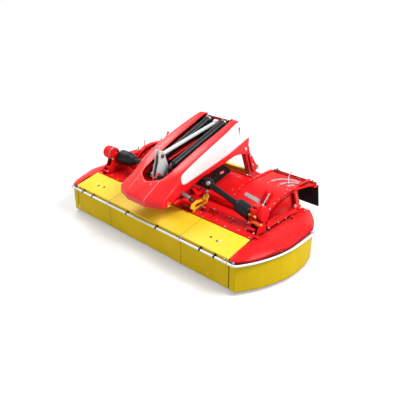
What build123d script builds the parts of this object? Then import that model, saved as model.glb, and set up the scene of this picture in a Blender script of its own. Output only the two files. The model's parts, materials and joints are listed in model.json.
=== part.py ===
"""Front-mounted disc mower with a tine conditioner, built as separate named pieces.

Frame: millimetres, +Z up, +X across the machine, the cutting front faces -Y. The origin is on the ground
under the middle of the machine's bounding box. Stations "d" are measured back from the front edge of the
yellow lid, and at() turns a station into Y.
"""
import math
import os

from build123d import *

os.makedirs("parts", exist_ok=True)

# ---------------------------------------------------------------- driving dimensions
MID_STATION = 970.0  # station of the origin
SIDES = (("left", -1), ("right", 1))
SHEET = 6.0  # guard, hood and deck sheet
RUN_FIT = 0.05  # radial clearance of a pin or shaft in its bore

LID_HALF = 1495.0  # half width of the front lid
LID_SPLIT = 712.5  # middle of the seam between the fixed lid and a flap
LID_SEAM = 5.0
LID_FRONT_Z = 469.0  # height of the lid's front edge
LIP_BOTTOM = 420.0  # lower edge of the lid's folded lip
DECK_STATION = 388.0  # where the lid ends and the red deck starts
DECK_Z = 557.0  # top of the deck
DECK_HALF = 1490.0
SKIRT_BOTTOM = 50.0
SKIRT_TOP = 445.0
SKIRT_THICK = 4.0
RAIL_R = 17.0
RAIL_Z = 410.0
RAIL_STATION = -32.0
RAIL_SPLIT = 1496.0  # middle of the gap between a flap's rail and a guard's rail
RAIL_GAP = 6.0  # from there to the end of either rail

DISC_COUNT = 7
DISC_PITCH = 430.0
DISC_STATION = 550.0
DISC_Z = 84.0
KNIFE_TIP_R = 250.0
SPINDLE_R = 18.0
BAR_HALF = 1460.0
BAR_TOP = 72.0
SHOE_THICK = 8.0

ROTOR_STATION = 1220.0
ROTOR_Z = 400.0
ROTOR_SHAFT_R = 25.0
TINE_TIP_R = 262.0
WALL_X = 1290.0  # inner face of the conditioner's side walls
WALL_THICK = 10.0
WALL_OUT = WALL_X + WALL_THICK

BEAM_STATION = 862.0  # front face of the main cross beam
BEAM_DEPTH = 84.0
BEAM_HEIGHT = 95.0
HOOD_FOOT = (948.0, 562.0)  # (station, height) points of the hood's arched profile
HOOD_MID = (1118.0, 676.0)
HOOD_TOP = (1500.0, 757.0)
HOOD_SPLIT_X = 660.0
HOOD_REAR = 1900.0
CURTAIN_STATION = 2004.0

GUARD_PIVOT_X = 1508.0  # hinge line of a side guard, along Y
GUARD_PIVOT_Z = 560.0
GUARD_INNER = 1509.0
GUARD_LIP = 429.0
PIN_R = 6.0
KNUCKLE_R = 9.0
FLAP_PIN_R = 4.0
FLAP_KNUCKLE_R = 7.5

SHAFT_STATION = 720.0
SHAFT_R = 40.0
CENTRE_SHAFT_Z = 848.0
END_SHAFT_Z = 772.0
PTO_Z = 822.0
PTO_R = 17.46
PTO_INNER_R = 25.0
COVER_SHEET = 7.0  # sheet of the nose and the arm covers
LEG_OUTER = 412.5  # shoulder of the lower link pins
LEG_WIDTH = 80.0
LINK_PIN = (2030.0, 520.0)  # (station, height)
LINK_PIN_R = 14.0
TOP_PIN = (1745.0, 1105.0)
TOP_PIN_R = 12.75


def at(d):
    """Y of a station."""
    return d - MID_STATION


def yz(points):
    """(station, height) pairs as (Y, Z) pairs."""
    return [(at(d), z) for d, z in points]


def plan(s, points):
    """(x, station) pairs of the right side as (X, Y) pairs of side s."""
    return [(s * x, at(d)) for x, d in points]


def side_face(points, x):
    """Face with a (station, height) outline on the upright plane at one X."""
    with BuildSketch(Plane.YZ.offset(x)) as face:
        with BuildLine():
            Polyline(yz(points), close=True)
        make_face()
    return face.sketch


def strut(points, radius):
    """Round bar between two (x, station, height) points."""
    start, end = [Vector(x, at(d), z) for x, d, z in points]
    with BuildPart() as bar:
        with BuildSketch(Plane(origin=start, z_dir=end - start)):
            Circle(radius)
        extrude(amount=(end - start).length)
    return bar.part


def cross_plane(d):
    """Plane across the machine at a station, with local x along +X and local y along +Z."""
    return Plane(origin=(0, at(d), 0), x_dir=(1, 0, 0), z_dir=(0, -1, 0))


def save(builder, name):
    """Labels a finished piece and writes it as one STEP file."""
    builder.part.label = name
    export_step(builder.part, f"parts/{name}.step")


# ---------------------------------------------------------------- cutter bar, shoes and discs
BAR_PROFILE = (
    (402, 26), (430, 60), (466, BAR_TOP), (660, BAR_TOP), (700, 46), (694, SHOE_THICK), (427, SHOE_THICK),
)
DISC_X = [(i - (DISC_COUNT - 1) / 2) * DISC_PITCH for i in range(DISC_COUNT)]
HUB_RISE = 6.0

with BuildPart() as cutter_bar:
    extrude(side_face(BAR_PROFILE, -BAR_HALF), amount=2 * BAR_HALF)
    with BuildSketch(Plane.XY.offset(BAR_TOP)):
        with Locations(*[(x, at(DISC_STATION)) for x in DISC_X]):
            Circle(62)
    extrude(amount=HUB_RISE)
    with Locations(*[(x, at(DISC_STATION), BAR_TOP + HUB_RISE) for x in DISC_X]):
        Hole(radius=SPINDLE_R + RUN_FIT, depth=26)
save(cutter_bar, "cutter_bar")

SHOE_PROFILE = (
    (354, 62), (404, 0), (700, 0), (722, 16), (716, 23), (694, SHOE_THICK), (408, SHOE_THICK), (361, 68),
)
with BuildPart() as skid_shoes:
    for x in DISC_X:
        extrude(side_face(SHOE_PROFILE, x - 150), amount=300)
save(skid_shoes, "skid_shoes")

for index, x in enumerate(DISC_X):
    quarter_turn = 90 * (index % 2)
    outermost = index in (0, DISC_COUNT - 1)
    centre = Plane(origin=(x, at(DISC_STATION), DISC_Z)).rotated((0, 0, quarter_turn))
    with BuildPart() as disc:
        with BuildSketch(centre):
            Ellipse(190, 152)
        extrude(amount=10)
        with BuildSketch(centre.offset(10)):
            Circle(130)
        with BuildSketch(centre.offset(34)):
            Circle(62)
        loft()
        with BuildSketch(centre.offset(2)):
            with Locations((-205, 0), (205, 0)):
                Rectangle(2 * (KNIFE_TIP_R - 205), 42)
        extrude(amount=5)
        with BuildSketch(centre.offset(-24)):
            Circle(SPINDLE_R)
        extrude(amount=26)
        if outermost:
            with BuildSketch(centre.offset(10)):
                Circle(118)
            with BuildSketch(centre.offset(346)):
                Circle(88)
            loft()
    save(disc, f"disc_{index + 1}")

# ---------------------------------------------------------------- frame: beam, deck, side walls, arms, stands
with BuildPart() as cross_beam:
    with BuildSketch(Plane.YZ.offset(-WALL_X)):
        with Locations((at(BEAM_STATION + BEAM_DEPTH / 2), DECK_Z + BEAM_HEIGHT / 2)):
            RectangleRounded(BEAM_DEPTH, BEAM_HEIGHT, 10)
            RectangleRounded(BEAM_DEPTH - 14, BEAM_HEIGHT - 14, 4, mode=Mode.SUBTRACT)
    extrude(amount=2 * WALL_X)
save(cross_beam, "cross_beam")

LID_PIVOT = (396.0, 559.0)  # (station, height) of the flaps' hinge line
FLAP_KNUCKLES = (800.0, 1400.0)
KNUCKLE_HALF = 20.0
LUG_GAP = 2.0
LUG_THICK = 8.0
LUG_REACH = KNUCKLE_HALF + LUG_GAP + LUG_THICK  # outer face of a hinge lug from the hinge's middle
FLAP_LUG = ((391, 559), (393, 564), (398, 566), (430, DECK_Z - 1), (402, DECK_Z - 4), (394, 553))
GUARD_KNUCKLES = (490.0, 1220.0)  # stations of a side guard's two hinges
LUG_TIP = GUARD_PIVOT_X + 8  # outer end of a guard hinge's lugs
DECK_FRONT = 406.0
DECK_RIB = ((DECK_FRONT, 551), (864, 551), (864, 500), (DECK_FRONT, 525))
DECK_RIB_X = (-1100, -560, 554, 1094)
DECK_OUTLINE = (
    (DECK_HALF, DECK_FRONT), (DECK_HALF, 700), (1420, 780), (WALL_OUT, 946), (-WALL_OUT, 946), (-1420, 780),
    (-DECK_HALF, 700), (-DECK_HALF, DECK_FRONT),
)
with BuildPart() as deck_plate:
    with BuildSketch(Plane.XY.offset(DECK_Z - SHEET)):
        with BuildLine():
            Polyline(plan(1, DECK_OUTLINE), close=True)
        make_face()
    extrude(amount=SHEET)
    for x in DECK_RIB_X:
        extrude(side_face(DECK_RIB, x), amount=6)
    for _, s in SIDES:
        for x in FLAP_KNUCKLES:
            for low in (x - LUG_REACH, x + KNUCKLE_HALF + LUG_GAP):
                extrude(side_face(FLAP_LUG, s * low), amount=s * LUG_THICK)
            with BuildSketch(Plane.YZ.offset(s * (x - LUG_REACH))):
                with Locations((at(LID_PIVOT[0]), LID_PIVOT[1])):
                    Circle(FLAP_PIN_R)
            extrude(amount=s * 2 * LUG_REACH)
        for far in (1, -1):
            with BuildSketch(cross_plane(GUARD_KNUCKLES[0] + far * (LUG_REACH - LUG_THICK / 2))):
                with BuildLine():
                    Polyline(
                        (s * 1440, DECK_Z - 1), (s * 1500, 570), (s * LUG_TIP, 570), (s * LUG_TIP, 555),
                        (s * 1489, 553), close=True,
                    )
                make_face()
            extrude(amount=LUG_THICK / 2, both=True)
        with BuildSketch(cross_plane(GUARD_KNUCKLES[0])):
            with Locations((s * GUARD_PIVOT_X, GUARD_PIVOT_Z)):
                Circle(PIN_R)
        extrude(amount=LUG_REACH, both=True)
save(deck_plate, "deck_plate")


def hood_line(lift, rear):
    """Draws the arched hood profile, raised by lift, from its front foot to a rear station."""
    foot, mid, top = [(at(d), z + lift) for d, z in (HOOD_FOOT, HOOD_MID, HOOD_TOP)]
    ThreePointArc(foot, mid, top)
    if rear > HOOD_TOP[0]:
        Line(top, (at(rear), HOOD_TOP[1] + lift))


def hood_band(x, low, high, rear):
    """Face of a hood band between two lifts, on the upright plane at one X."""
    with BuildSketch(Plane.YZ.offset(x)) as band:
        with BuildLine():
            hood_line(low, rear)
            hood_line(high, rear)
            Line((at(HOOD_FOOT[0]), HOOD_FOOT[1] + low), (at(HOOD_FOOT[0]), HOOD_FOOT[1] + high))
            Line((at(rear), HOOD_TOP[1] + low), (at(rear), HOOD_TOP[1] + high))
        make_face()
    return band.sketch


RIB = 42.0
RIB_RISE = 12.0
REAR_BAR = (
    (1900, 700), (1900, 765), (1912, 765), (1912, 722), (1938, 722), (1938, 768), (1950, 768), (1950, 706),
    (2014, 706), (2014, 700),
)
REAR_BAR_FROM = 690.0
REAR_BAR_TO = 1405.0
HOOD_EAR = ((1300, 1500), (REAR_BAR_TO, 1860), (REAR_BAR_TO, 1900), (1300, 1900))  # (x, station)
with BuildPart() as hood_centre:
    extrude(hood_band(1 - HOOD_SPLIT_X, -SHEET - 4, -4, HOOD_TOP[0]), amount=2 * (HOOD_SPLIT_X - 1))
    hood_lip = ((1490, 746), (1490, 768), (1500, 768), (1500, 746))
    extrude(side_face(hood_lip, 1 - HOOD_SPLIT_X), amount=2 * (HOOD_SPLIT_X - 1))
save(hood_centre, "hood_centre")

with BuildPart() as hood_sides:
    for _, s in SIDES:
        extrude(hood_band(s * HOOD_SPLIT_X, -SHEET, 0, HOOD_REAR), amount=s * (WALL_OUT - HOOD_SPLIT_X))
        extrude(hood_band(s * HOOD_SPLIT_X, -SHEET, RIB_RISE, HOOD_REAR), amount=s * RIB)
        extrude(hood_band(s * WALL_OUT, -SHEET, RIB_RISE, HOOD_REAR), amount=-s * RIB)
        with BuildSketch(Plane.XY.offset(HOOD_TOP[1] - SHEET)):
            with BuildLine():
                Polyline(plan(s, HOOD_EAR), close=True)
            make_face()
        extrude(amount=SHEET)
        extrude(side_face(REAR_BAR, s * REAR_BAR_FROM), amount=s * (REAR_BAR_TO - REAR_BAR_FROM))
save(hood_sides, "hood_sides")

ARCH = ((930, 600), (1029, 679), (1110, 757), (1200, 806), (1370, 828), (1600, 810), (1890, 790))
DRIVE_BOX = ((905, 546), (905, 700), (925, 744), (1165, 739), (1182, 700), (1182, 546))
with BuildPart() as drive_cover:
    arch_foot = [(d, z - 26) for d, z in reversed(ARCH[1:])]
    extrude(side_face((*ARCH, *arch_foot, (950, 566)), -WALL_OUT - 0.2), amount=-58)
    arch_web = ((1000, 620), (1110, 740), (1370, 806), (1600, 788), (1600, 760), (1240, 560), (1000, 560))
    extrude(side_face(arch_web, -WALL_OUT - 40), amount=-8)
    extrude(side_face(DRIVE_BOX, -WALL_OUT - 40), amount=-125)
save(drive_cover, "drive_cover")

CURTAIN = ((672, 395), (672, 699.5), (REAR_BAR_TO, 699.5), (1445, 395))  # (x, height)
with BuildPart() as rear_curtains:
    for _, s in SIDES:
        with BuildSketch(cross_plane(CURTAIN_STATION)):
            with BuildLine():
                Polyline([(s * x, z) for x, z in CURTAIN], close=True)
            make_face()
        extrude(amount=-6)
save(rear_curtains, "rear_curtains")

BOARD_PIVOT = (1262.0, 1500.0)  # (x, station) of a swath board's upright hinge
BOARD_PIN_R = 8.0
BOARD_LOW = 226.0
BOARD_HIGH = 668.0
BOARD_LUG = 14.0
BOARD_GAP = 3.0
WALL_LIFT = -SHEET - 0.2
with BuildPart() as side_walls:
    for _, s in SIDES:
        with BuildSketch(Plane.YZ.offset(s * WALL_X)):
            with BuildLine():
                hood_line(WALL_LIFT, 1640)
                Polyline(
                    (at(1640), HOOD_TOP[1] + WALL_LIFT), (at(1600), 200), (at(1330), 60), (at(701), 30),
                    (at(701), 62), (at(860), 90), (at(930), 420), (at(930), 470), (at(430), 505),
                    (at(430), 550.8), (at(947), 550.8), (at(HOOD_FOOT[0]), HOOD_FOOT[1] + WALL_LIFT),
                )
            make_face()
        extrude(amount=s * WALL_THICK)
        with BuildSketch(Plane.YZ.offset(s * WALL_OUT)):
            with Locations((at(ROTOR_STATION), ROTOR_Z)):
                Circle(70)
        extrude(amount=s * 30)
        with BuildSketch(Plane.YZ.offset(s * (WALL_X - 1))):
            with Locations((at(ROTOR_STATION), ROTOR_Z)):
                Circle(ROTOR_SHAFT_R + RUN_FIT)
        extrude(amount=s * 42, mode=Mode.SUBTRACT)
        for low in (BOARD_LOW - BOARD_GAP - BOARD_LUG, BOARD_HIGH + BOARD_GAP):
            with BuildSketch(Plane.XY.offset(low)):
                with Locations((s * (BOARD_PIVOT[0] + WALL_X) / 2, at(BOARD_PIVOT[1]))):
                    Rectangle(WALL_X - BOARD_PIVOT[0], 32)
                with Locations((s * BOARD_PIVOT[0], at(BOARD_PIVOT[1]))):
                    Circle(16)
                    Circle(BOARD_PIN_R + RUN_FIT, mode=Mode.SUBTRACT)
            extrude(amount=BOARD_LUG)
save(side_walls, "side_walls")

BOARD_TIP = (1125.0, 1952.0)
BOARD_HEEL = (BOARD_PIVOT[0] - 6, BOARD_PIVOT[1])
for side, s in SIDES:
    with BuildPart() as swath_board:
        with BuildSketch(Plane.XY.offset(BOARD_LOW)):
            with BuildLine():
                ThreePointArc(*plan(s, (BOARD_PIVOT, (1225, 1730), BOARD_TIP)))
                Line(*plan(s, (BOARD_TIP, (BOARD_TIP[0] - 6, BOARD_TIP[1]))))
                ThreePointArc(*plan(s, ((BOARD_TIP[0] - 6, BOARD_TIP[1]), (1219, 1729), BOARD_HEEL)))
                Line(*plan(s, (BOARD_HEEL, BOARD_PIVOT)))
            make_face()
        extrude(amount=BOARD_HIGH - BOARD_LOW)
        with BuildSketch(Plane.XY.offset(BOARD_LOW - BOARD_GAP - BOARD_LUG)):
            with Locations((s * BOARD_PIVOT[0], at(BOARD_PIVOT[1]))):
                Circle(BOARD_PIN_R)
        extrude(amount=BOARD_HIGH - BOARD_LOW + 2 * (BOARD_GAP + BOARD_LUG))
    save(swath_board, f"swath_board_{side}")

with BuildPart() as crop_pan:
    pan = ((701, 46), (701, 52), (900, 84), (1120, 98), (1330, 112), (1330, 106), (1120, 92), (900, 78))
    extrude(side_face(pan, -WALL_X + 0.2), amount=2 * WALL_X - 0.4)
save(crop_pan, "crop_pan")

FAIRING_PLAN = ((1478, 1560), (1502, 1560), (1502, 1652), (1372, 1735), (1345, 1700), (1432, 1596))
FAIRING_SIDE = ((1550, 524), (1590, 524), (1740, 440), (1740, 433), (1586, 518), (1550, 518))


def fairing(s):
    """Sloped sheet behind a guard arm."""
    with BuildPart() as sheet:
        with BuildSketch(Plane.XY.offset(400)):
            with BuildLine():
                Polyline(plan(s, FAIRING_PLAN), close=True)
            make_face()
        extrude(amount=200)
        extrude(side_face(FAIRING_SIDE, s * 1300), amount=s * 250, mode=Mode.INTERSECT)
    return sheet.part


ARM_PLATE = (
    (WALL_OUT, 960), (1310, 900), (1352, 840), (1430, 800), (1487, 790), (1487, 1560), (1432, 1596),
    (WALL_OUT, 1160),
)
ARM_TUBES = (((1412, 800), (1452, 1490)), ((1365, 900), (1372, 1550)))
ARM_TUBE_R = 21.0
ARM_TUBE_Z = 524.0
with BuildPart() as guard_arms:
    for _, s in SIDES:
        with BuildSketch(Plane.XY.offset(500)):
            with BuildLine():
                Polyline(plan(s, ARM_PLATE), close=True)
            make_face()
        extrude(amount=24)
        add(fairing(s))
        for start, end in ARM_TUBES:
            add(strut([(s * x, d, ARM_TUBE_Z) for x, d in (start, end)], ARM_TUBE_R))
        with BuildSketch(Plane.XY.offset(500)):
            with BuildLine():
                Polyline(plan(s, ((1430, 1190), (1487, 1190), (1487, 1250), (1430, 1250))), close=True)
            make_face()
        extrude(amount=44)
        for far in (1, -1):
            with BuildSketch(cross_plane(GUARD_KNUCKLES[1] + far * (LUG_REACH - LUG_THICK / 2))):
                with BuildLine():
                    Polyline(
                        (s * 1425, 543), (s * 1500, 570), (s * LUG_TIP, 570), (s * LUG_TIP, 555),
                        (s * 1480, 543), close=True,
                    )
                make_face()
            extrude(amount=LUG_THICK / 2, both=True)
        with BuildSketch(cross_plane(GUARD_KNUCKLES[1])):
            with Locations((s * GUARD_PIVOT_X, GUARD_PIVOT_Z)):
                Circle(PIN_R)
        extrude(amount=LUG_REACH, both=True)
save(guard_arms, "guard_arms")

STAND_X = 1342.0
STAND_STATION = 1560.0
with BuildPart() as parking_stands:
    for _, s in SIDES:
        with BuildSketch(Plane.XY.offset(8)):
            with Locations((s * STAND_X, at(STAND_STATION))):
                Rectangle(50, 50)
        extrude(amount=472)
        with BuildSketch(Plane.XY):
            with Locations((s * (STAND_X + 10), at(STAND_STATION))):
                Rectangle(110, 120)
        extrude(amount=8)
        for z in (300, 440):
            with BuildSketch(Plane.XY.offset(z)):
                with Locations((s * (WALL_OUT + 10), at(STAND_STATION))):
                    Rectangle(20, 60)
            extrude(amount=30)
save(parking_stands, "parking_stands")

# ---------------------------------------------------------------- conditioner rotor
TINE_ROWS = 4
TINES_PER_ROW = 13
TINE_PITCH = 188.0
# right half of a tine's outline: (distance from its middle, distance from the rotor's axis)
TINE_HALF = ((34, 70), (62, TINE_TIP_R), (44, TINE_TIP_R), (0, 150))
with BuildPart() as conditioner_rotor:
    for half_length, radius in ((1262, 80), (1325, ROTOR_SHAFT_R)):
        with BuildSketch(Plane.YZ):
            with Locations((at(ROTOR_STATION), ROTOR_Z)):
                Circle(radius)
        extrude(amount=half_length, both=True)
    for row in range(TINE_ROWS):
        angle = math.radians(row * 360 / TINE_ROWS + 45)
        outward = Vector(0, math.cos(angle), math.sin(angle))
        row_plane = Plane(
            origin=(0, at(ROTOR_STATION), ROTOR_Z), x_dir=(1, 0, 0), z_dir=Vector(1, 0, 0).cross(outward)
        )
        shift = TINE_PITCH / 4 * (1 if row % 2 else -1)
        with BuildSketch(row_plane):
            for k in range(TINES_PER_ROW):
                middle = (k - (TINES_PER_ROW - 1) / 2) * TINE_PITCH + shift
                mirrored = [(-across, out) for across, out in reversed(TINE_HALF[:-1])]
                with BuildLine():
                    Polyline([(middle + across, out) for across, out in (*TINE_HALF, *mirrored)], close=True)
                make_face()
        extrude(amount=3, both=True)
save(conditioner_rotor, "conditioner_rotor")

# ---------------------------------------------------------------- front lid: fixed centre and two flaps
LID_PROFILE = (
    (DECK_STATION, DECK_Z), (6, LID_FRONT_Z + 1), (0, LID_FRONT_Z - 5), (0, LIP_BOTTOM), (5, LIP_BOTTOM),
    (5, LID_FRONT_Z - 7), (DECK_STATION, DECK_Z - SHEET),
)
SKIRT_PROFILE = (
    (5.2, SKIRT_BOTTOM), (5.2, SKIRT_TOP), (5.2 + SKIRT_THICK, SKIRT_TOP), (5.2 + SKIRT_THICK, SKIRT_BOTTOM),
)
CLIP_PROFILE = ((-26, 414), (-26, 404), (-0.2, 420), (-0.2, 446), (-5, 446), (-5, 426))
FLAP_ARM = ((350, 543), (387, 552), (394, 552), (394, 566), (384, 561), (350, 552))
FLAP_FROM = LID_SPLIT + LID_SEAM / 2
CENTRE_HALF = LID_SPLIT - LID_SEAM / 2
# columns: name ending, inner X, outer X, clip places
LID_PIECES = (
    ("centre", -CENTRE_HALF, CENTRE_HALF, (-690, -295, 295, 690)),
    ("left", -LID_HALF, -FLAP_FROM, (-1440, -1300, -1070, -735)),
    ("right", FLAP_FROM, LID_HALF, (735, 1070, 1300, 1440)),
)
for ending, low, high, clips in LID_PIECES:
    with BuildPart() as front_cover:
        extrude(side_face(LID_PROFILE, low), amount=high - low)
        if ending != "centre":
            s = 1 if low > 0 else -1
            for x in FLAP_KNUCKLES:
                extrude(side_face(FLAP_ARM, s * (x - KNUCKLE_HALF)), amount=s * 2 * KNUCKLE_HALF)
                with BuildSketch(Plane.YZ.offset(s * (x - KNUCKLE_HALF))):
                    with Locations((at(LID_PIVOT[0]), LID_PIVOT[1])):
                        Circle(FLAP_KNUCKLE_R)
                extrude(amount=s * 2 * KNUCKLE_HALF)
                with BuildSketch(Plane.YZ.offset(s * (x - KNUCKLE_HALF))):
                    with Locations((at(LID_PIVOT[0]), LID_PIVOT[1])):
                        Circle(FLAP_PIN_R + RUN_FIT)
                extrude(amount=s * 2 * KNUCKLE_HALF, mode=Mode.SUBTRACT)
    save(front_cover, f"front_cover_{ending}")
    with BuildPart() as front_skirt:
        extrude(side_face(SKIRT_PROFILE, low), amount=high - low)
    save(front_skirt, f"front_skirt_{ending}")
    with BuildPart() as front_rail:
        rail_from, rail_to = max(low, RAIL_GAP - RAIL_SPLIT), min(high, RAIL_SPLIT - RAIL_GAP)
        with BuildSketch(Plane.YZ.offset(rail_from)):
            with Locations((at(RAIL_STATION), RAIL_Z)):
                Circle(RAIL_R)
        extrude(amount=rail_to - rail_from)
        for x in clips:
            extrude(side_face(CLIP_PROFILE, x - 11), amount=22)
    save(front_rail, f"front_rail_{ending}")

# ---------------------------------------------------------------- side guards with their skirts and rails
GUARD_CORNER = (1572.0, 0.0)  # (x, station) points of a guard's plan outline
GUARD_SHOULDER = (1843.0, 720.0)
GUARD_WAIST = (1821.0, 1190.0)
GUARD_HEEL = (1531.0, 1632.0)
GUARD_TAIL = (GUARD_INNER, 1646.0)
GUARD_CROWN = 549.0
GUARD_EDGE = 440.0
GUARD_FRONT_EDGE = 463.0
CROWN_RUN = 250.0  # distance over which a guard rises from its side edges to its crown
# columns: (x, station) of an edge point, direction of the edge there, its height, distance up to the crown
GUARD_EDGES = (
    ((1560, -1), (1, 0), GUARD_FRONT_EDGE, DECK_STATION),
    ((1749, 270), (33, 70), GUARD_EDGE, CROWN_RUN),
    ((1846, 900), (0, 1), GUARD_EDGE, CROWN_RUN),
    ((1728, 1430), (-30, 42), GUARD_EDGE, CROWN_RUN),
    ((1450, 1740), (-1, 0), GUARD_EDGE, CROWN_RUN),
)


def guard_plan(s, inset):
    """Face of a side guard's plan outline, drawn in by inset along its free edges."""
    corner = (GUARD_CORNER[0] - inset, inset)
    shoulder = (GUARD_SHOULDER[0] - inset, GUARD_SHOULDER[1])
    waist, heel = (GUARD_WAIST[0] - inset, GUARD_WAIST[1]), (GUARD_HEEL[0], GUARD_HEEL[1] - inset)
    tail = (GUARD_TAIL[0], GUARD_TAIL[1] - inset)
    with BuildSketch(Plane.XY.offset(GUARD_LIP)) as outline:
        with BuildLine():
            ThreePointArc(*plan(s, (corner, (1746 - inset, 270), shoulder)))
            Line(*plan(s, (shoulder, waist)))
            ThreePointArc(*plan(s, (waist, (1722 - inset, 1430 - inset / 2), heel)))
            Polyline(plan(s, (heel, tail, (GUARD_INNER, inset), corner)))
        make_face()
    return outline.sketch


def guard_crown(s, edge, heading, start, run, drop):
    """Face under a line rising inwards over run, from an edge point at start to the crown, less drop."""
    inward = Vector(-s * heading[1], heading[0], 0)
    rise = GUARD_CROWN - start
    radius = (run**2 + rise**2) / (2 * rise)
    middle = GUARD_CROWN - radius + math.sqrt(radius**2 - (run / 2) ** 2)
    far, low = 2000, GUARD_LIP - 10
    origin = (s * edge[0], at(edge[1]), 0)
    with BuildSketch(Plane(origin=origin, x_dir=inward, z_dir=inward.cross(Vector(0, 0, 1)))) as crown:
        with BuildLine():
            ThreePointArc((0, start - drop), (run / 2, middle - drop), (run, GUARD_CROWN - drop))
            Polyline(
                (run, GUARD_CROWN - drop), (far, GUARD_CROWN - drop), (far, low), (0, low), (0, start - drop),
            )
        make_face()
    return crown.sketch


def guard_block(s, inset):
    """Solid under a side guard's surface, drawn in by inset on every side but the underside."""
    with BuildPart() as block:
        extrude(guard_plan(s, inset), amount=200)
        for edge, heading, start, run in GUARD_EDGES:
            under = guard_crown(s, edge, heading, start, run, inset)
            extrude(under, amount=2500, both=True, mode=Mode.INTERSECT)
    return block.part


HEM_CORNER = (1600.0, 6.0)  # (x, station) points of a side skirt's plan curve
HEM_SHOULDER = (1869.0, 810.0)
HEM_END = (1808.0, 1300.0)


def hem_curve(s, out):
    """Draws the plan curve of a side skirt, moved outwards by out."""
    corner, shoulder = (HEM_CORNER[0] + out, HEM_CORNER[1] - out), (HEM_SHOULDER[0] + out, HEM_SHOULDER[1])
    Line(*plan(s, ((GUARD_INNER, HEM_CORNER[1] - out), corner)))
    ThreePointArc(*plan(s, (corner, (1793 + out, 385), shoulder)))
    ThreePointArc(*plan(s, (shoulder, (1857 + out, 1070), (HEM_END[0] + out, HEM_END[1]))))


for side, s in SIDES:
    with BuildPart() as side_guard:
        add(guard_block(s, 0))
        add(guard_block(s, SHEET), mode=Mode.SUBTRACT)
        for d in GUARD_KNUCKLES:
            with BuildSketch(cross_plane(d)):
                with Locations((s * GUARD_PIVOT_X, GUARD_PIVOT_Z)):
                    Circle(KNUCKLE_R)
                with BuildLine():
                    Polyline(
                        (s * GUARD_PIVOT_X, 551), (s * 1530, 546), (s * 1530, 552),
                        (s * (GUARD_PIVOT_X + 5), 567), close=True,
                    )
                make_face()
                with Locations((s * GUARD_PIVOT_X, GUARD_PIVOT_Z)):
                    Circle(PIN_R + RUN_FIT, mode=Mode.SUBTRACT)
            extrude(amount=KNUCKLE_HALF, both=True)
    save(side_guard, f"side_guard_{side}")
    with BuildPart() as side_skirt:
        with BuildSketch(Plane.XY.offset(SKIRT_BOTTOM)):
            with BuildLine():
                hem_curve(s, 0)
                hem_curve(s, SKIRT_THICK)
                Line(*plan(s, ((GUARD_INNER, HEM_CORNER[1]), (GUARD_INNER, HEM_CORNER[1] - SKIRT_THICK))))
                Line(*plan(s, (HEM_END, (HEM_END[0] + SKIRT_THICK, HEM_END[1]))))
            make_face()
        extrude(amount=RAIL_Z - RAIL_R - SKIRT_BOTTOM)
    save(side_skirt, f"side_skirt_{side}")
    with BuildPart() as side_rail:
        with BuildLine(Plane.XY.offset(RAIL_Z)) as rail_path:
            rail_start = Line(*plan(s, ((RAIL_SPLIT + RAIL_GAP, RAIL_STATION), (1560, RAIL_STATION))))
            rail_bend = TangentArc(*plan(s, ((1560, RAIL_STATION), (1635, 10))), tangent=rail_start % 1)
            rail_side = TangentArc(*plan(s, ((1635, 10), (1866, 800))), tangent=rail_bend % 1)
            TangentArc(*plan(s, ((1866, 800), (1828, 1300))), tangent=rail_side % 1)
        with BuildSketch(Plane(rail_path.line @ 0, z_dir=rail_path.line % 0)):
            Circle(RAIL_R)
        sweep(path=rail_path.line)
    save(side_rail, f"side_rail_{side}")

# ---------------------------------------------------------------- drive: gearboxes, shaft guards, stub
with BuildPart() as centre_gearbox:
    with BuildSketch(Plane.XY.offset(690)):
        with Locations((0, at(725))):
            RectangleRounded(230, 230, 30)
    extrude(amount=230)
    with BuildSketch(Plane.XY.offset(DECK_Z)):
        with Locations((0, at(725))):
            Rectangle(180, 150)
    extrude(amount=134)
    with BuildSketch(cross_plane(839)):
        with Locations((0, PTO_Z)):
            Circle(52)
    extrude(amount=-20)
    with BuildSketch(cross_plane(860)):
        with Locations((0, PTO_Z)):
            Circle(PTO_INNER_R + RUN_FIT)
    extrude(amount=60, mode=Mode.SUBTRACT)
save(centre_gearbox, "centre_gearbox")

with BuildPart() as pto_stub:
    with BuildSketch(cross_plane(936)):
        with Locations((0, PTO_Z)):
            Circle(PTO_R)
    extrude(amount=76)
    with BuildSketch(cross_plane(860)):
        with Locations((0, PTO_Z)):
            Circle(PTO_INNER_R)
    extrude(amount=60)
save(pto_stub, "pto_stub")

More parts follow.
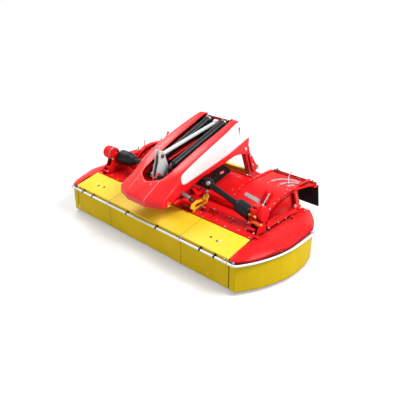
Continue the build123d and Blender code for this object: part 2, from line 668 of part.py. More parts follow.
END_BOX = ((655, DECK_Z), (655, 700), (690, 742), (800, 772), (842, 740), (842, 640), (820, DECK_Z))
RIGHT_DRUM = (722.0, 735.0)  # (station, height) of the right drum's axis
RIGHT_DRUM_R = 98.0
RIGHT_HEAD = ((640, 640), (605, 690), (605, 815), (616, 826), (664, 859), (722, 852), (740, 760))
RIGHT_FOOT = ((528, DECK_Z), (528, 575), (560, 640), (590, 668), (660, 680), (700, 640), (700, DECK_Z))
with BuildPart() as gearbox_right:
    for x, length, radius in ((1303, 140, RIGHT_DRUM_R), (1443, 8, RIGHT_DRUM_R - 8)):
        with BuildSketch(Plane.YZ.offset(x)):
            with Locations((at(RIGHT_DRUM[0]), RIGHT_DRUM[1])):
                Circle(radius)
        extrude(amount=length)
    with BuildSketch(Plane.YZ.offset(1292)):
        with Locations((at(SHAFT_STATION), END_SHAFT_Z)):
            Circle(84)
    extrude(amount=60)
    extrude(side_face(RIGHT_HEAD, 1308), amount=88)
    with BuildSketch(Plane.YZ.offset(1303)):
        with Locations((at(738), 620)):
            Rectangle(165, 2 * (620 - DECK_Z))
    extrude(amount=118)
    with BuildSketch(cross_plane(602)):
        with BuildLine():
            Polyline(
                (1288, 770), (1400, 770), (1408, 690), (1490, 678), (1490, 652), (1440, 610), (1395, 590),
                (1310, 590), (1288, 620), close=True,
            )
        make_face()
        with Locations((1344, 686)):
            Circle(44, mode=Mode.SUBTRACT)
    extrude(amount=-12)
    for x in (1352, 1478):
        extrude(side_face(RIGHT_FOOT, x), amount=10)
save(gearbox_right, "gearbox_right")

DRUM = (605.0, 846.0)  # (station, height) of the drum's axis
DRUM_R = 97.0
DRUM_END = -1502.0
LEFT_BRACKET = (
    (440, DECK_Z), (435, 600), (470, 640), (530, 690), (560, 770), (640, 790), (700, 700), (700, DECK_Z),
)
with BuildPart() as gearbox_left:
    drum_start = Vector(DRUM_END, at(DRUM[0]), DRUM[1])
    with BuildSketch(Plane(origin=drum_start, x_dir=(1, 0, 0), z_dir=(0, -1, 0))):
        with BuildLine():
            ThreePointArc((0, 62), (8, 86), (32, DRUM_R))
            Polyline((32, DRUM_R), (160, DRUM_R), (174, 80), (174, 0), (0, 0), (0, 62))
        make_face()
    revolve(axis=Axis(drum_start, (1, 0, 0)))
    add(strut(((-1374, 615, 838), (-1354, 668, 812)), 52))
    with BuildSketch(Plane.YZ.offset(-1310)):
        with Locations((at(SHAFT_STATION), END_SHAFT_Z)):
            Circle(84)
    extrude(amount=18)
    extrude(side_face(END_BOX, -1303), amount=-110)
    for x in (-1330, -1425):
        extrude(side_face(LEFT_BRACKET, x), amount=-10)
save(gearbox_left, "gearbox_left")


def shaft_height(x):
    """Height of the cross shafts' axis at a distance from the middle."""
    return CENTRE_SHAFT_Z + (END_SHAFT_Z - CENTRE_SHAFT_Z) * (abs(x) - 116) / (1290 - 116)


# columns: side, then (distance from the middle, radius) of the sections
SHAFT_GUARDS = (
    (1, ((124, 84), (190, 84), (330, SHAFT_R), (400, SHAFT_R), (416, 58), (470, 70), (520, SHAFT_R),
         (1000, SHAFT_R), (1010, 62), (1050, 106), (1080, 118), (1286, 121))),
    (-1, ((124, 84), (190, 84), (330, SHAFT_R), (960, SHAFT_R), (985, 62), (1100, 104), (1180, 112),
          (1286, 108))),
)
with BuildPart() as shaft_guards:
    for s, sections in SHAFT_GUARDS:
        start = Vector(s * 124, at(SHAFT_STATION), shaft_height(124))
        end = Vector(s * 1290, at(SHAFT_STATION), shaft_height(1290))
        axis = (end - start).normalized()
        with BuildSketch(Plane(origin=start, x_dir=axis, z_dir=(0, s, 0))):
            with BuildLine():
                Polyline(
                    [(0, 0)] + [(x - 124, radius) for x, radius in sections] + [(sections[-1][0] - 124, 0)],
                    close=True,
                )
            make_face()
        revolve(axis=Axis(start, axis))
save(shaft_guards, "shaft_guards")

# ---------------------------------------------------------------- carrying arms, cover and headstock
# columns: station, then (x, height) of a cover's inner edge, outer edge, fold and foot
ARM_SECTIONS = (
    (190, (200, 1003), (385, 938), (415, 893), (428, 740)),
    (340, (209, 1072), (385, 1056), (417, 926), (426, 780)),
    (550, (223, 1168), (397, 1167), (420, 970), (424, 820)),
    (850, (236, 1292), (402, 1293), (422, 1032), (424, 900)),
    (1200, (247, 1414), (392, 1418), (420, 1108), (424, 950)),
    (1490, (250, 1514), (365, 1512), (420, 1200), (424, 980)),
    (1750, (250, 1514), (365, 1512), (420, 1290), (424, 980)),
)
ARM_OUTLINE = (
    (190, 790), (222, 802), (325, 823), (450, 850), (710, 940), (960, 984), (1120, 1005), (1360, 1060),
    (1480, 1050), (1560, 1030), (1636, 1036), (1668, 1080), (1668, 1196), (1491, 1518), (1491, 1600),
    (190, 1600),
)
with BuildPart() as arm_covers:
    for _, s in SIDES:
        for station, inner, outer, fold, foot in ARM_SECTIONS:
            with BuildSketch(cross_plane(station)):
                with BuildLine():
                    Polyline(
                        [
                            (s * x, z) for x, z in (
                                inner, outer, fold, foot, (foot[0] - COVER_SHEET, foot[1]),
                                (fold[0] - COVER_SHEET, fold[1] - 1),
                                (outer[0] - COVER_SHEET, outer[1] - COVER_SHEET),
                                (inner[0], inner[1] - COVER_SHEET),
                            )
                        ],
                        close=True,
                    )
                make_face()
        loft(ruled=True)
    extrude(side_face(ARM_OUTLINE, -450), amount=900, mode=Mode.INTERSECT)
save(arm_covers, "arm_covers")

# (x, station, height) points of the nose's right half
RIDGE_FOOT = (175, -120, 806)
RIDGE_LIP = (174, -92, 706)
NOSE_CORNER = (416, -19, 810)
NOSE_CORNER_LIP = (428, -19, 728)
NOSE_TIP = (0, 73, 951)
NOSE_VERTEX = (178, 171, 996)
NOSE_INNER = (200, 190, 1003)
NOSE_OUTER = (385, 190, 938)
NOSE_FOLD = (415, 190, 893)
NOSE_SIDE = (NOSE_CORNER_LIP, (428, 111, 747), (428, 190, 790), NOSE_FOLD, NOSE_CORNER)
NOSE_PANELS = (
    (RIDGE_FOOT, NOSE_VERTEX, NOSE_TIP),
    (RIDGE_FOOT, NOSE_INNER, NOSE_VERTEX),
    (RIDGE_FOOT, NOSE_CORNER, NOSE_INNER),
    (NOSE_CORNER, NOSE_OUTER, NOSE_INNER),
    (NOSE_CORNER, NOSE_FOLD, NOSE_OUTER),
    NOSE_SIDE,
    (RIDGE_LIP, NOSE_CORNER_LIP, RIDGE_FOOT),
    (NOSE_CORNER_LIP, NOSE_CORNER, RIDGE_FOOT),
)


def mirrored(points):
    """The left twin of (x, station, height) points, still anticlockwise seen from outside."""
    return [(-x, d, z) for x, d, z in reversed(points)]


def plate(points):
    """Cover sheet inside a flat outline of (x, station, height) points, anticlockwise seen from outside."""
    corners = [Vector(x, at(d), z) for x, d, z in points]
    along = corners[1] - corners[0]
    base = Plane(origin=corners[0], x_dir=along, z_dir=along.cross(corners[2] - corners[0]))
    flat = [base.to_local_coords(corner) for corner in corners]
    with BuildPart() as sheet:
        with BuildSketch(base):
            with BuildLine():
                Polyline([(corner.X, corner.Y) for corner in flat], close=True)
            make_face()
        extrude(amount=-COVER_SHEET)
    return sheet.part


with BuildPart() as nose_cover:
    add(plate((*mirrored((RIDGE_FOOT,)), RIDGE_FOOT, NOSE_TIP)))
    add(plate((*mirrored((RIDGE_LIP,)), RIDGE_LIP, RIDGE_FOOT, *mirrored((RIDGE_FOOT,)))))
    for panel in NOSE_PANELS:
        add(plate(panel))
        add(plate(mirrored(panel)))
    ahead_of_arms = ((-200, 600), (-200, 1100), (189.8, 1100), (189.8, 600))
    extrude(side_face(ahead_of_arms, -450), amount=900, mode=Mode.INTERSECT)
save(nose_cover, "nose_cover")

ARM_BEAM = ((240, 820), (240, 900), (600, 1010), (1570, 1150), (1580, 1070), (700, 915), (420, 830))
with BuildPart() as carrier_arms:
    for _, s in SIDES:
        extrude(side_face(ARM_BEAM, s * 280), amount=s * 70)
    with BuildSketch(Plane.YZ.offset(-280)):
        with Locations((at(285), 865)):
            Circle(38)
    extrude(amount=560)
save(carrier_arms, "carrier_arms")

with BuildPart() as pull_arms:
    for _, s in SIDES:
        link = (
            (262, 818), (310, 818), (440, 600), (470, 560), (470, DECK_Z), (404, DECK_Z), (404, 580),
            (300, 700),
        )
        extrude(side_face(link, s * 295), amount=s * 40)
save(pull_arms, "pull_arms")

CRANK = (
    (243, 1025), (260, 1090), (283, 1147), (293, 1229), (296, 1290), (306, 1308), (337, 1311), (368, 1302),
    (380, 1288), (395, 1243), (419, 1167), (450, 1093), (482, 1018), (420, 980), (345, 930), (330, 903.2),
    (245, 903.2), (240, 960),
)
CRANK_PIN = (350.0, 1239.0)  # (station, height)
CRANK_INNER = 26.0
CRANK_OUTER = 42.0
with BuildPart() as bell_crank:
    for _, s in SIDES:
        extrude(side_face(CRANK, s * CRANK_INNER), amount=s * (CRANK_OUTER - CRANK_INNER))
    with BuildSketch(Plane.YZ.offset(-CRANK_OUTER - 12)):
        with Locations((at(CRANK_PIN[0]), CRANK_PIN[1])):
            Circle(20)
    extrude(amount=2 * (CRANK_OUTER + 12))
save(bell_crank, "bell_crank")

with BuildPart() as top_rod:
    add(strut(((0, 380, 1245), (0, 1420, 1442)), 26))
    extrude(side_face(((1400, 1412), (1400, 1466), (1450, 1478), (1464, 1470), (1464, 1425)), -34), amount=68)
save(top_rod, "top_rod")

with BuildPart() as relief_springs:
    for x, d, z in ((160, 422, 1084), (-160, 440, 1066)):
        add(strut(((x, d, z), (x, 1440, 1441)), 52))
        add(strut(((x, d - 90, z - 36), (x, d, z)), 16))
        add(strut(((x, 1440, 1441), (x, 1464, 1449)), 30))
save(relief_springs, "relief_springs")

ANCHOR_HALF = 362.0
with BuildPart() as anchor_bar:
    with BuildSketch(Plane.YZ.offset(-ANCHOR_HALF)):
        with Locations((at(1492), 1452)):
            Circle(26)
    extrude(amount=2 * ANCHOR_HALF)
save(anchor_bar, "anchor_bar")

LEG = (
    (1600, 1040), (1590, 1110), (1640, 1160), (1690, 1110), (1700, 1050), (1820, 730), (1900, 660),
    (2060, 560), (2060, 490), (2000, 480), (1850, 560), (1740, 660),
)
with BuildPart() as headstock:
    for _, s in SIDES:
        extrude(side_face(LEG, s * LEG_OUTER), amount=-s * LEG_WIDTH)
        with BuildSketch(Plane.YZ.offset(s * LEG_OUTER)):
            with Locations((at(LINK_PIN[0]), LINK_PIN[1])):
                Circle(LINK_PIN_R)
        extrude(amount=s * 76)
        clevis = ((1660, 1060), (1660, 1145), (1745, 1145), (1785, 1105), (1745, 1065))
        extrude(side_face(clevis, s * 28), amount=s * 18)
    with BuildSketch(Plane.YZ.offset(-LEG_OUTER + LEG_WIDTH)):
        with Locations((at(1650), 1100)):
            Rectangle(80, 80)
    extrude(amount=2 * (LEG_OUTER - LEG_WIDTH))
    with BuildSketch(Plane.YZ.offset(-60)):
        with Locations((at(TOP_PIN[0]), TOP_PIN[1])):
            Circle(TOP_PIN_R)
    extrude(amount=120, mode=Mode.SUBTRACT)
save(headstock, "headstock")

with BuildPart() as cross_tube:
    with BuildSketch(Plane.YZ.offset(-LEG_OUTER + LEG_WIDTH + 0.2)):
        with Locations((at(1765), 690)):
            Rectangle(56, 56)
    extrude(amount=2 * (LEG_OUTER - LEG_WIDTH - 0.2))
save(cross_tube, "cross_tube")

LOCK_OUTLINE = (
    (430, DECK_Z), (440, 585), (387, 628), (404, 672), (500, 700), (615, 685), (664, 756), (700, 745),
    (739, 698), (699, 604), (480, 577), (470, DECK_Z),
)
LOCK_SLOT = ((465, 622), (478, 655), (655, 658), (690, 648), (672, 622), (500, 605))
with BuildPart() as lock_bracket:
    extrude(side_face(LOCK_OUTLINE, 500), amount=14)
    extrude(side_face(LOCK_SLOT, 500), amount=14, mode=Mode.SUBTRACT)
save(lock_bracket, "lock_bracket")

with BuildPart() as stop_pin:
    add(strut(((432, 326, 858), (600, 318, 836)), 26))
save(stop_pin, "stop_pin")
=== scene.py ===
"""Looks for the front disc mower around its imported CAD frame. Metres, +Z up, the cutting front faces -Y.

Places are (x, station, height) in millimetres, or vectors that are already points of the frame. A station is
the distance behind the yellow lid's front edge. Radii, profiles, widths and bevels are in millimetres too.
"""
import json
import math

import bmesh
import bpy
import numpy as np
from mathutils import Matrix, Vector
from mathutils.bvhtree import BVHTree


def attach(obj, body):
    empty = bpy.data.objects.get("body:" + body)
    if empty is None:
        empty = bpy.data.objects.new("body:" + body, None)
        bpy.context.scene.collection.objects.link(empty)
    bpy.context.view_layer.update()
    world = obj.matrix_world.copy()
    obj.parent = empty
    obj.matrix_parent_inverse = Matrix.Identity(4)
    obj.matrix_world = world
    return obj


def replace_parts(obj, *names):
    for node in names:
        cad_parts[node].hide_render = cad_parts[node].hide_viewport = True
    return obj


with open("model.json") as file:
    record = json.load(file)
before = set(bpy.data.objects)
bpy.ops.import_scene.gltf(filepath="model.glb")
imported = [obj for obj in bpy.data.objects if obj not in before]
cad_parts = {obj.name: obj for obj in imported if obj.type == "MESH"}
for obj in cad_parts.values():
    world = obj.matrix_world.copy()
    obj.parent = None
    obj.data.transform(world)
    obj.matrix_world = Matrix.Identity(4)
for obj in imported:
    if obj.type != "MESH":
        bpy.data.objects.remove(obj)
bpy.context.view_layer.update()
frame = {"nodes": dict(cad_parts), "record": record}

MID_STATION = 970.0  # station of the frame's origin
SIDES = (("left", -1), ("right", 1))
UP, AHEAD, BACK, ACROSS = (Vector(v) for v in ((0, 0, 1), (0, -1, 0), (0, 1, 0), (1, 0, 0)))


def spot(x, d, z):
    return Vector((x / 1000, (d - MID_STATION) / 1000, z / 1000))


def at(place):
    """A point of the frame, from such a point or from (x, station, height)."""
    return place if isinstance(place, Vector) else spot(*place)


def mm(x, y, z):
    """An offset in metres from one in millimetres."""
    return Vector((x / 1000, y / 1000, z / 1000))


# ---- camera and lamps
LENS_MM = 46.09
CAMERA_AT = (4.674, -4.789, 3.615)
AZIMUTH, ELEVATION = math.radians(43.53), math.radians(25.83)
# columns: name, place, size, power
LAMPS = (
    ("key", (6.3, 1.6, 8.2), 4.2, 930),
    ("gloss", (-4.2, 0.4, 5.8), 2.6, 230),
    ("fill", (-1.0, -7.5, 2.6), 5.0, 105),
)
LAMP_AIM = Vector((0, 0, 0.4))


def add_object(name, data):
    thing = bpy.data.objects.new(name, data)
    bpy.context.scene.collection.objects.link(thing)
    return thing


def make_camera():
    data = bpy.data.cameras.new("photo_camera")
    data.sensor_width = 36.0
    data.lens = LENS_MM
    camera = add_object("photo_camera", data)
    camera.location = CAMERA_AT
    camera.rotation_euler = (math.pi / 2 - ELEVATION, 0.0, AZIMUTH)
    bpy.context.scene.camera = camera


def make_lamps():
    for name, place, size, power in LAMPS:
        data = bpy.data.lights.new(name, "AREA")
        data.size, data.energy = size, power
        lamp = add_object(name, data)
        lamp.location = place
        lamp.rotation_euler = (LAMP_AIM - Vector(place)).to_track_quat("-Z", "Y").to_euler()


# ---- finishes
class Nodes:
    """A node tree and short ways to add to it."""

    def __init__(self, tree):
        self.tree = tree

    def add(self, kind, links=(), **settings):
        node = self.tree.nodes.new(kind)
        for key, value in settings.items():
            if hasattr(node, key):
                setattr(node, key, value)
            else:
                node.inputs[key].default_value = value
        for key, source in dict(links).items():
            self.tree.links.new(source, node.inputs[key])
        return node

    def math(self, operation, a, b):
        return self.add("ShaderNodeMath", {0: a, 1: b}, operation=operation).outputs[0]

    def spread(self, source, low, high, to_low=0.0, to_high=1.0):
        node = self.add("ShaderNodeMapRange", {"Value": source})
        for index, value in enumerate((low, high, to_low, to_high), start=1):
            node.inputs[index].default_value = value
        return node.outputs[0]

    def shown(self):
        """1 for the rays that show the surroundings: the camera's, and those off gloss or through glass."""
        rays = self.add("ShaderNodeLightPath").outputs
        total = rays["Is Camera Ray"]
        for other in ("Is Glossy Ray", "Is Transmission Ray"):
            total = self.math("MAXIMUM", total, rays[other])
        return total


class Finish(Nodes):
    """A node material for a slot of the record."""

    def __init__(self, label, name=None, slot=None):
        self.slot = slot or label
        self.material = bpy.data.materials.new(name or label)
        self.material.use_nodes = True
        super().__init__(self.material.node_tree)
        self.shader = self.tree.nodes["Principled BSDF"]
        self.place = self.add("ShaderNodeTexCoord").outputs["Object"]

    def noise(self, scale, detail=3.0, stretch=(1, 1, 1)):
        place = self.place
        if stretch != (1, 1, 1):
            place = self.add("ShaderNodeMapping", {"Vector": place}, Scale=stretch).outputs[0]
        return self.add("ShaderNodeTexNoise", {"Vector": place}, Scale=scale, Detail=detail).outputs[0]

    def wave(self, scale, way):
        node = self.add("ShaderNodeTexWave", {"Vector": self.place}, Scale=scale, bands_direction=way)
        return node.outputs[1]

    def blend(self, share, a, b):
        """Colour from a to b by share; a and b are colours or sockets."""
        node = self.add("ShaderNodeMix", {0: share}, data_type="RGBA")
        for socket, value in ((node.inputs[6], a), (node.inputs[7], b)):
            if isinstance(value, tuple):
                socket.default_value = (*value, 1)
            else:
                self.tree.links.new(value, socket)
        return node.outputs[2]

    def bump(self, height, distance, strength=1.0):
        node = self.add("ShaderNodeBump", {"Height": height}, Strength=strength, Distance=distance)
        self.to("Normal", node.outputs[0])

    def to(self, name, source):
        self.tree.links.new(source, self.shader.inputs[name])

    def set(self, **values):
        for name, value in values.items():
            self.shader.inputs[name.replace("_", " ")].default_value = value


def gloss_paint(f, colour, deeper, rough, gloss):
    """Gloss paint on sheet steel: two close tones, painted shade in crevices, orange peel, a trace of dust
    low down.
    """
    tone = f.blend(f.spread(f.noise(2.2), 0.3, 0.7), colour, deeper)
    # painted shade: the colour falls towards a fifth of itself where ambient occlusion finds surfaces close
    # by
    crevice_shade = f.add("ShaderNodeAmbientOcclusion", Distance=0.11, samples=6).outputs["AO"]
    tone = f.blend(f.spread(crevice_shade, 0.25, 0.8), tuple(0.22 * c for c in colour), tone)
    height = f.add("ShaderNodeSeparateXYZ", {0: f.place}).outputs[2]
    dust = f.math("MULTIPLY", f.spread(height, 0.6, 0.0, 0.0, 0.25), f.spread(f.noise(14, 5), 0.45, 0.75))
    f.to("Base Color", f.blend(dust, tone, (0.32, 0.25, 0.16)))
    f.to("Roughness", f.spread(f.noise(4), 0.3, 0.7, rough * 0.93, rough * 1.1))
    f.bump(f.noise(260, 1), 0.0001, 0.05)
    f.set(Specular_IOR_Level=gloss)


def coated_cloth(f, colour, deeper):
    """Coated skirt cloth: a fine weave under the coating, soft blotches and faint upright creases."""
    blotch = f.blend(f.spread(f.noise(3.1, 4), 0.3, 0.7), colour, deeper)
    crease = f.noise(5, 3, (2.4, 2.4, 0.35))
    f.to("Base Color", f.blend(f.spread(crease, 0.42, 0.62, 0.0, 0.3), blotch, deeper))
    f.to("Roughness", f.spread(f.noise(20), 0.3, 0.7, 0.42, 0.6))
    weave = f.math("MULTIPLY", f.wave(150, "X"), f.wave(150, "Z"))
    f.bump(f.math("ADD", crease, f.spread(weave, 0, 1, 0, 0.02)), 0.012, 0.55)
    f.set(Specular_IOR_Level=0.08)


def dark_matte(f, colour, deeper, rough, grain, gloss):
    """Black plastic, rubber or paint with a fine grain."""
    f.to("Base Color", f.blend(f.spread(f.noise(7, 4), 0.3, 0.7), colour, deeper))
    f.to("Roughness", f.spread(f.noise(15, 4), 0.3, 0.7, rough * 0.8, rough * 1.25))
    f.bump(f.noise(grain, 2), 0.0006, 0.3)
    f.set(Specular_IOR_Level=gloss)


def metal(f, colour, deeper, rough, stretch=(1, 1, 1)):
    """Plated or worn steel with brushed streaks and dull patches."""
    f.to("Base Color", f.blend(f.spread(f.noise(11, 5), 0.35, 0.7), colour, deeper))
    streak = f.noise(60, 4, stretch)
    f.to("Roughness", f.spread(streak, 0.25, 0.75, rough * 0.7, rough * 1.4))
    f.bump(streak, 0.0003, 0.3)
    f.set(Metallic=0.9)


PAINT_RED, DEEP_RED = (0.88, 0.011, 0.014), (0.81, 0.008, 0.011)
# columns: label (with name and slot where they differ), maker, colour, deeper colour, the maker's own values
FINISH_ROWS = (
    (("red_paint",), gloss_paint, PAINT_RED, DEEP_RED, 0.30, 0.12),
    (("yellow_paint",), gloss_paint, (0.93, 0.66, 0.030), (0.88, 0.60, 0.022), 0.34, 0.12),
    (("white_rail",), gloss_paint, (0.88, 0.88, 0.88), (0.84, 0.84, 0.85), 0.32, 0.2),
    (("skirt_cloth",), coated_cloth, (0.73, 0.51, 0.006), (0.65, 0.44, 0.005)),
    (("black_plastic",), dark_matte, (0.006, 0.006, 0.007), (0.013, 0.013, 0.014), 0.34, 180, 0.13),
    (("black_paint",), dark_matte, (0.007, 0.007, 0.008), (0.014, 0.014, 0.016), 0.34, 220, 0.20),
    (("black_rubber",), dark_matte, (0.006, 0.006, 0.006), (0.012, 0.012, 0.012), 0.60, 120, 0.15),
    (("bare_steel",), metal, (0.46, 0.46, 0.47), (0.30, 0.29, 0.28), 0.32, (1, 8, 8)),
    (("zinc_steel",), metal, (0.62, 0.63, 0.65), (0.50, 0.51, 0.54), 0.36),
    (("blade_steel",), metal, (0.30, 0.29, 0.28), (0.17, 0.15, 0.13), 0.42, (6, 6, 1)),
    (("cover_red", "cover_paint", "red_paint"), gloss_paint, PAINT_RED, DEEP_RED, 0.34, 0.30),
    # pale red standing in for painted highlights on the red paint
    (("edge_red", "edge_paint", "red_paint"), gloss_paint, (0.95, 0.27, 0.25), (0.92, 0.22, 0.20), 0.34, 0.3),
    (("light_grey", "light_grey_paint", "white_rail"),
        gloss_paint, (0.70, 0.70, 0.71), (0.60, 0.60, 0.62), 0.36, 0.25),
    (("gold", "gold_zinc", "zinc_steel"), metal, (0.86, 0.66, 0.26), (0.72, 0.52, 0.18), 0.42),
    (("orange", "orange_paint", "red_paint"),
        gloss_paint, (0.86, 0.13, 0.010), (0.74, 0.09, 0.008), 0.40, 0.2),
    # near-black red for painted shade where parts lie in shadow
    (("dark_red", "shaded_red_paint", "black_paint"),
        gloss_paint, (0.16, 0.003, 0.005), (0.10, 0.002, 0.003), 0.5, 0.05),
    (("dull_zinc", "dull_zinc", "zinc_steel"), metal, (0.30, 0.30, 0.31), (0.21, 0.21, 0.22), 0.42),
    # darker red: painted shade on the guards' lips
    (("lip_red", "lip_paint", "red_paint"),
        gloss_paint, (0.46, 0.006, 0.008), (0.40, 0.005, 0.006), 0.4, 0.1),
    (("brown", "pin_steel", "bare_steel"), metal, (0.20, 0.10, 0.08), (0.12, 0.06, 0.05), 0.5),
    (("plate", "blank_plate", "black_plastic"),
        gloss_paint, (0.40, 0.42, 0.42), (0.34, 0.36, 0.36), 0.4, 0.2),
)
RED, HIGHLIGHT, SHADE, GREY, ORANGE, BROWN = "red_paint", "edge_red", "dark_red", "light_grey", "orange", "brown"
YELLOW, WHITE, PLASTIC, PAINT, RUBBER = (
    "yellow_paint", "white_rail", "black_plastic", "black_paint", "black_rubber"
)
STEEL, ZINC, DULL, GOLD, PLATE = "bare_steel", "zinc_steel", "dull_zinc", "gold", "plate"
NODE_FINISH = {"bell_crank": GREY, "top_rod": GREY}
FINISHES = {}
for names, maker, *values in FINISH_ROWS:
    FINISHES[names[0]] = Finish(*names)
    maker(FINISHES[names[0]], *values)


def dress_cad():
    """Every CAD node gets its slot's finish, or the one that NODE_FINISH names."""
    for row in frame["record"]["subparts"]:
        materials = frame["nodes"][row["node"]].data.materials
        materials.clear()
        materials.append(FINISHES[NODE_FINISH.get(row["node"], row["material_slot"])].material)


# ---- floor and surroundings
FLOOR_LINES = (-24, -12, 0, 12, 24)
GLOW_FROM, GLOW_TO, NEAR_GLOW = 2.6, 7.0, (0.36, 0.36, 0.36)  # the floor turns white between these distances
AMBIENT = 0.40  # strength of the surroundings for rays that light the object


def make_stage():
    """Pale floor that keeps the shadow, and white surroundings."""
    f = Finish("floor")
    f.to("Base Color", f.blend(f.spread(f.noise(3), 0.3, 0.7), (0.60, 0.60, 0.60), (0.58, 0.58, 0.58)))
    f.set(Roughness=0.9, Specular_IOR_Level=0.0, Emission_Strength=1.0)
    reach = f.add("ShaderNodeVectorMath", {0: f.place}, operation="LENGTH").outputs["Value"]
    glow = f.blend(f.spread(reach, GLOW_FROM, GLOW_TO), NEAR_GLOW, (1.0, 1.0, 1.0))
    f.to("Emission Color", f.blend(f.shown(), (0, 0, 0), glow))
    floor = Shape().grid([[Vector((x, y, 0)) for x in FLOOR_LINES] for y in FLOOR_LINES])
    floor.object("floor", f)
    world = bpy.data.worlds.new("surroundings")
    bpy.context.scene.world = world
    world.use_nodes = True
    nodes = Nodes(world.node_tree)
    background = nodes.tree.nodes["Background"].inputs
    background["Color"].default_value = (1, 1, 1, 1)
    nodes.tree.links.new(nodes.spread(nodes.shown(), 0, 1, AMBIENT, 1), background["Strength"])


# ---- mesh tools
def circle(centre, across, up, radius, sides):
    """Points round a circle, its radius in millimetres."""
    turns = [2 * math.pi * i / sides for i in range(sides)]
    return [centre + radius / 1000 * (math.cos(a) * across + math.sin(a) * up) for a in turns]


WASHER, HEAD_HEIGHT, HEAD_TOP = 1.45, 0.8, 0.82  # of the radius of a bolt's head
BROKEN_FROM = math.radians(38)  # edges sharper than this are broken where a piece has a bevel


class Shape:
    """Faces of one piece."""

    def __init__(self):
        self.mesh = bmesh.new()

    def corners(self, rows):
        return [[self.mesh.verts.new(at(place)) for place in row] for row in rows]

    def grid(self, rows, turn=False):
        """Quads between neighbouring rows of places."""
        verts = self.corners(rows)
        for low, high in zip(verts, verts[1:]):
            for a, b, c, d in zip(low, low[1:], high[1:], high):
                self.mesh.faces.new((d, c, b, a) if turn else (a, b, c, d))
        return self

    def rings(self, rings):
        """Closed skin through rings of places, capped at both ends."""
        verts = self.corners(rings)
        for low, high in zip(verts, verts[1:]):
            for i in range(len(low)):
                j = (i + 1) % len(low)
                self.mesh.faces.new((low[i], low[j], high[j], high[i]))
        self.mesh.faces.new(verts[0][::-1])
        self.mesh.faces.new(verts[-1])

    def turned(self, start, end, profile, sides=32):
        """Turned form about the line from start towards end; profile is (distance from start, radius)."""
        start, end = at(start), at(end)
        axis = (end - start).normalized()
        across = axis.orthogonal().normalized()
        up = axis.cross(across)
        self.rings([circle(start + axis * (far / 1000), across, up, r, sides) for far, r in profile])

    def rod(self, start, end, radius, sides=20, chamfer=0.0):
        start, end = at(start), at(end)
        length = (end - start).length * 1000
        profile = [(chamfer, radius), (length - chamfer, radius)]
        if chamfer:
            profile = [(0, radius - chamfer), *profile, (length, radius - chamfer)]
        self.turned(start, end, profile, sides)

    def tube(self, path, radius, sides=14):
        """Round bar along a path of places."""
        path, rings, up = [at(place) for place in path], [], None
        for i, point in enumerate(path):
            ahead = (path[min(i + 1, len(path) - 1)] - path[max(i - 1, 0)]).normalized()
            up = (up - ahead * up.dot(ahead)).normalized() if up else ahead.orthogonal().normalized()
            rings.append(circle(point, up, ahead.cross(up), radius, sides))
        self.rings(rings)

    def slab(self, outline, depth):
        """Prism: a flat outline of places pushed along the vector depth, in metres."""
        outline = [at(place) for place in outline]
        self.rings([outline, [point + depth for point in outline]])

    def plate(self, x, thick, outline):
        """Upright plate: an outline of (station, height) points at x, pushed across the machine by thick."""
        self.slab([(x, d, z) for d, z in outline], mm(thick, 0, 0))

    def block(self, a, b):
        """Box between two opposite corners."""
        (x0, x1), (y0, y1), (z0, z1) = (sorted(pair) for pair in zip(at(a), at(b)))
        outline = [Vector((x, y, z0)) for x, y in ((x0, y0), (x1, y0), (x1, y1), (x0, y1))]
        self.slab(outline, Vector((0, 0, z1 - z0)))

    def bolt(self, foot, axis, radius, height=None):
        """Hexagon head on a washer, standing on foot along axis."""
        foot, axis = at(foot), axis.normalized()
        height = height or radius * HEAD_HEIGHT
        self.turned(foot - axis * 0.001, foot + axis, [(0, radius * WASHER), (2.5, radius * 1.4)], 16)
        self.turned(foot, foot + axis, [(0, radius), (height * 0.8, radius), (height, radius * HEAD_TOP)], 6)

    def bolts(self, axis, radius, *feet):
        for foot in feet:
            self.bolt(foot, axis, radius)

    def weld(self, distance=0.0002):
        bmesh.ops.remove_doubles(self.mesh, verts=self.mesh.verts, dist=distance)

    def relax(self, times, chosen=lambda vert: True):
        """Rounds creases by moving the chosen inner points towards their neighbours."""
        loose = [v for v in self.mesh.verts if not v.is_boundary and chosen(v)]
        for _ in range(times):
            bmesh.ops.smooth_vert(
                self.mesh, verts=loose, factor=0.5, use_axis_x=True, use_axis_y=True, use_axis_z=True
            )

    def round_rim(self, times, chosen):
        """Rounds the corners of chosen free edges: each point moves towards its neighbours on the edge."""
        rim = [v for v in self.mesh.verts if v.is_boundary and chosen(v)]
        beside = {v: [e.other_vert(v) for e in v.link_edges if e.is_boundary] for v in rim}
        for _ in range(times):
            target = {v: sum((n.co for n in beside[v]), Vector()) / len(beside[v]) for v in rim}
            for v in rim:
                v.co = v.co.lerp(target[v], 0.5)

    def outward(self):
        bmesh.ops.recalc_face_normals(self.mesh, faces=self.mesh.faces)

    def object(self, name, finish):
        mesh = bpy.data.meshes.new(name)
        self.mesh.to_mesh(mesh)
        self.mesh.free()
        mesh.materials.append(finish.material)
        return add_object(name, mesh)

    def piece(self, name, label, body="frame", angle=35.0, thick=0.0, bevel=0.0, outward=True):
        """The finished piece, smooth up to an angle, with a sheet thickness or broken edges if given."""
        if outward:
            self.outward()
        thing = self.object(name, FINISHES[label])
        thing.data.polygons.foreach_set("use_smooth", [True] * len(thing.data.polygons))
        thing.data.set_sharp_from_angle(angle=math.radians(angle))
        if thick:
            thing.modifiers.new("sheet", "SOLIDIFY").thickness = thick / 1000
        if bevel:
            edge = thing.modifiers.new("edges", "BEVEL")
            edge.width, edge.segments = bevel / 1000, 2
            edge.limit_method, edge.angle_limit = "ANGLE", BROKEN_FROM
        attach(thing, body)
        FINISHES[label].slot
        return thing


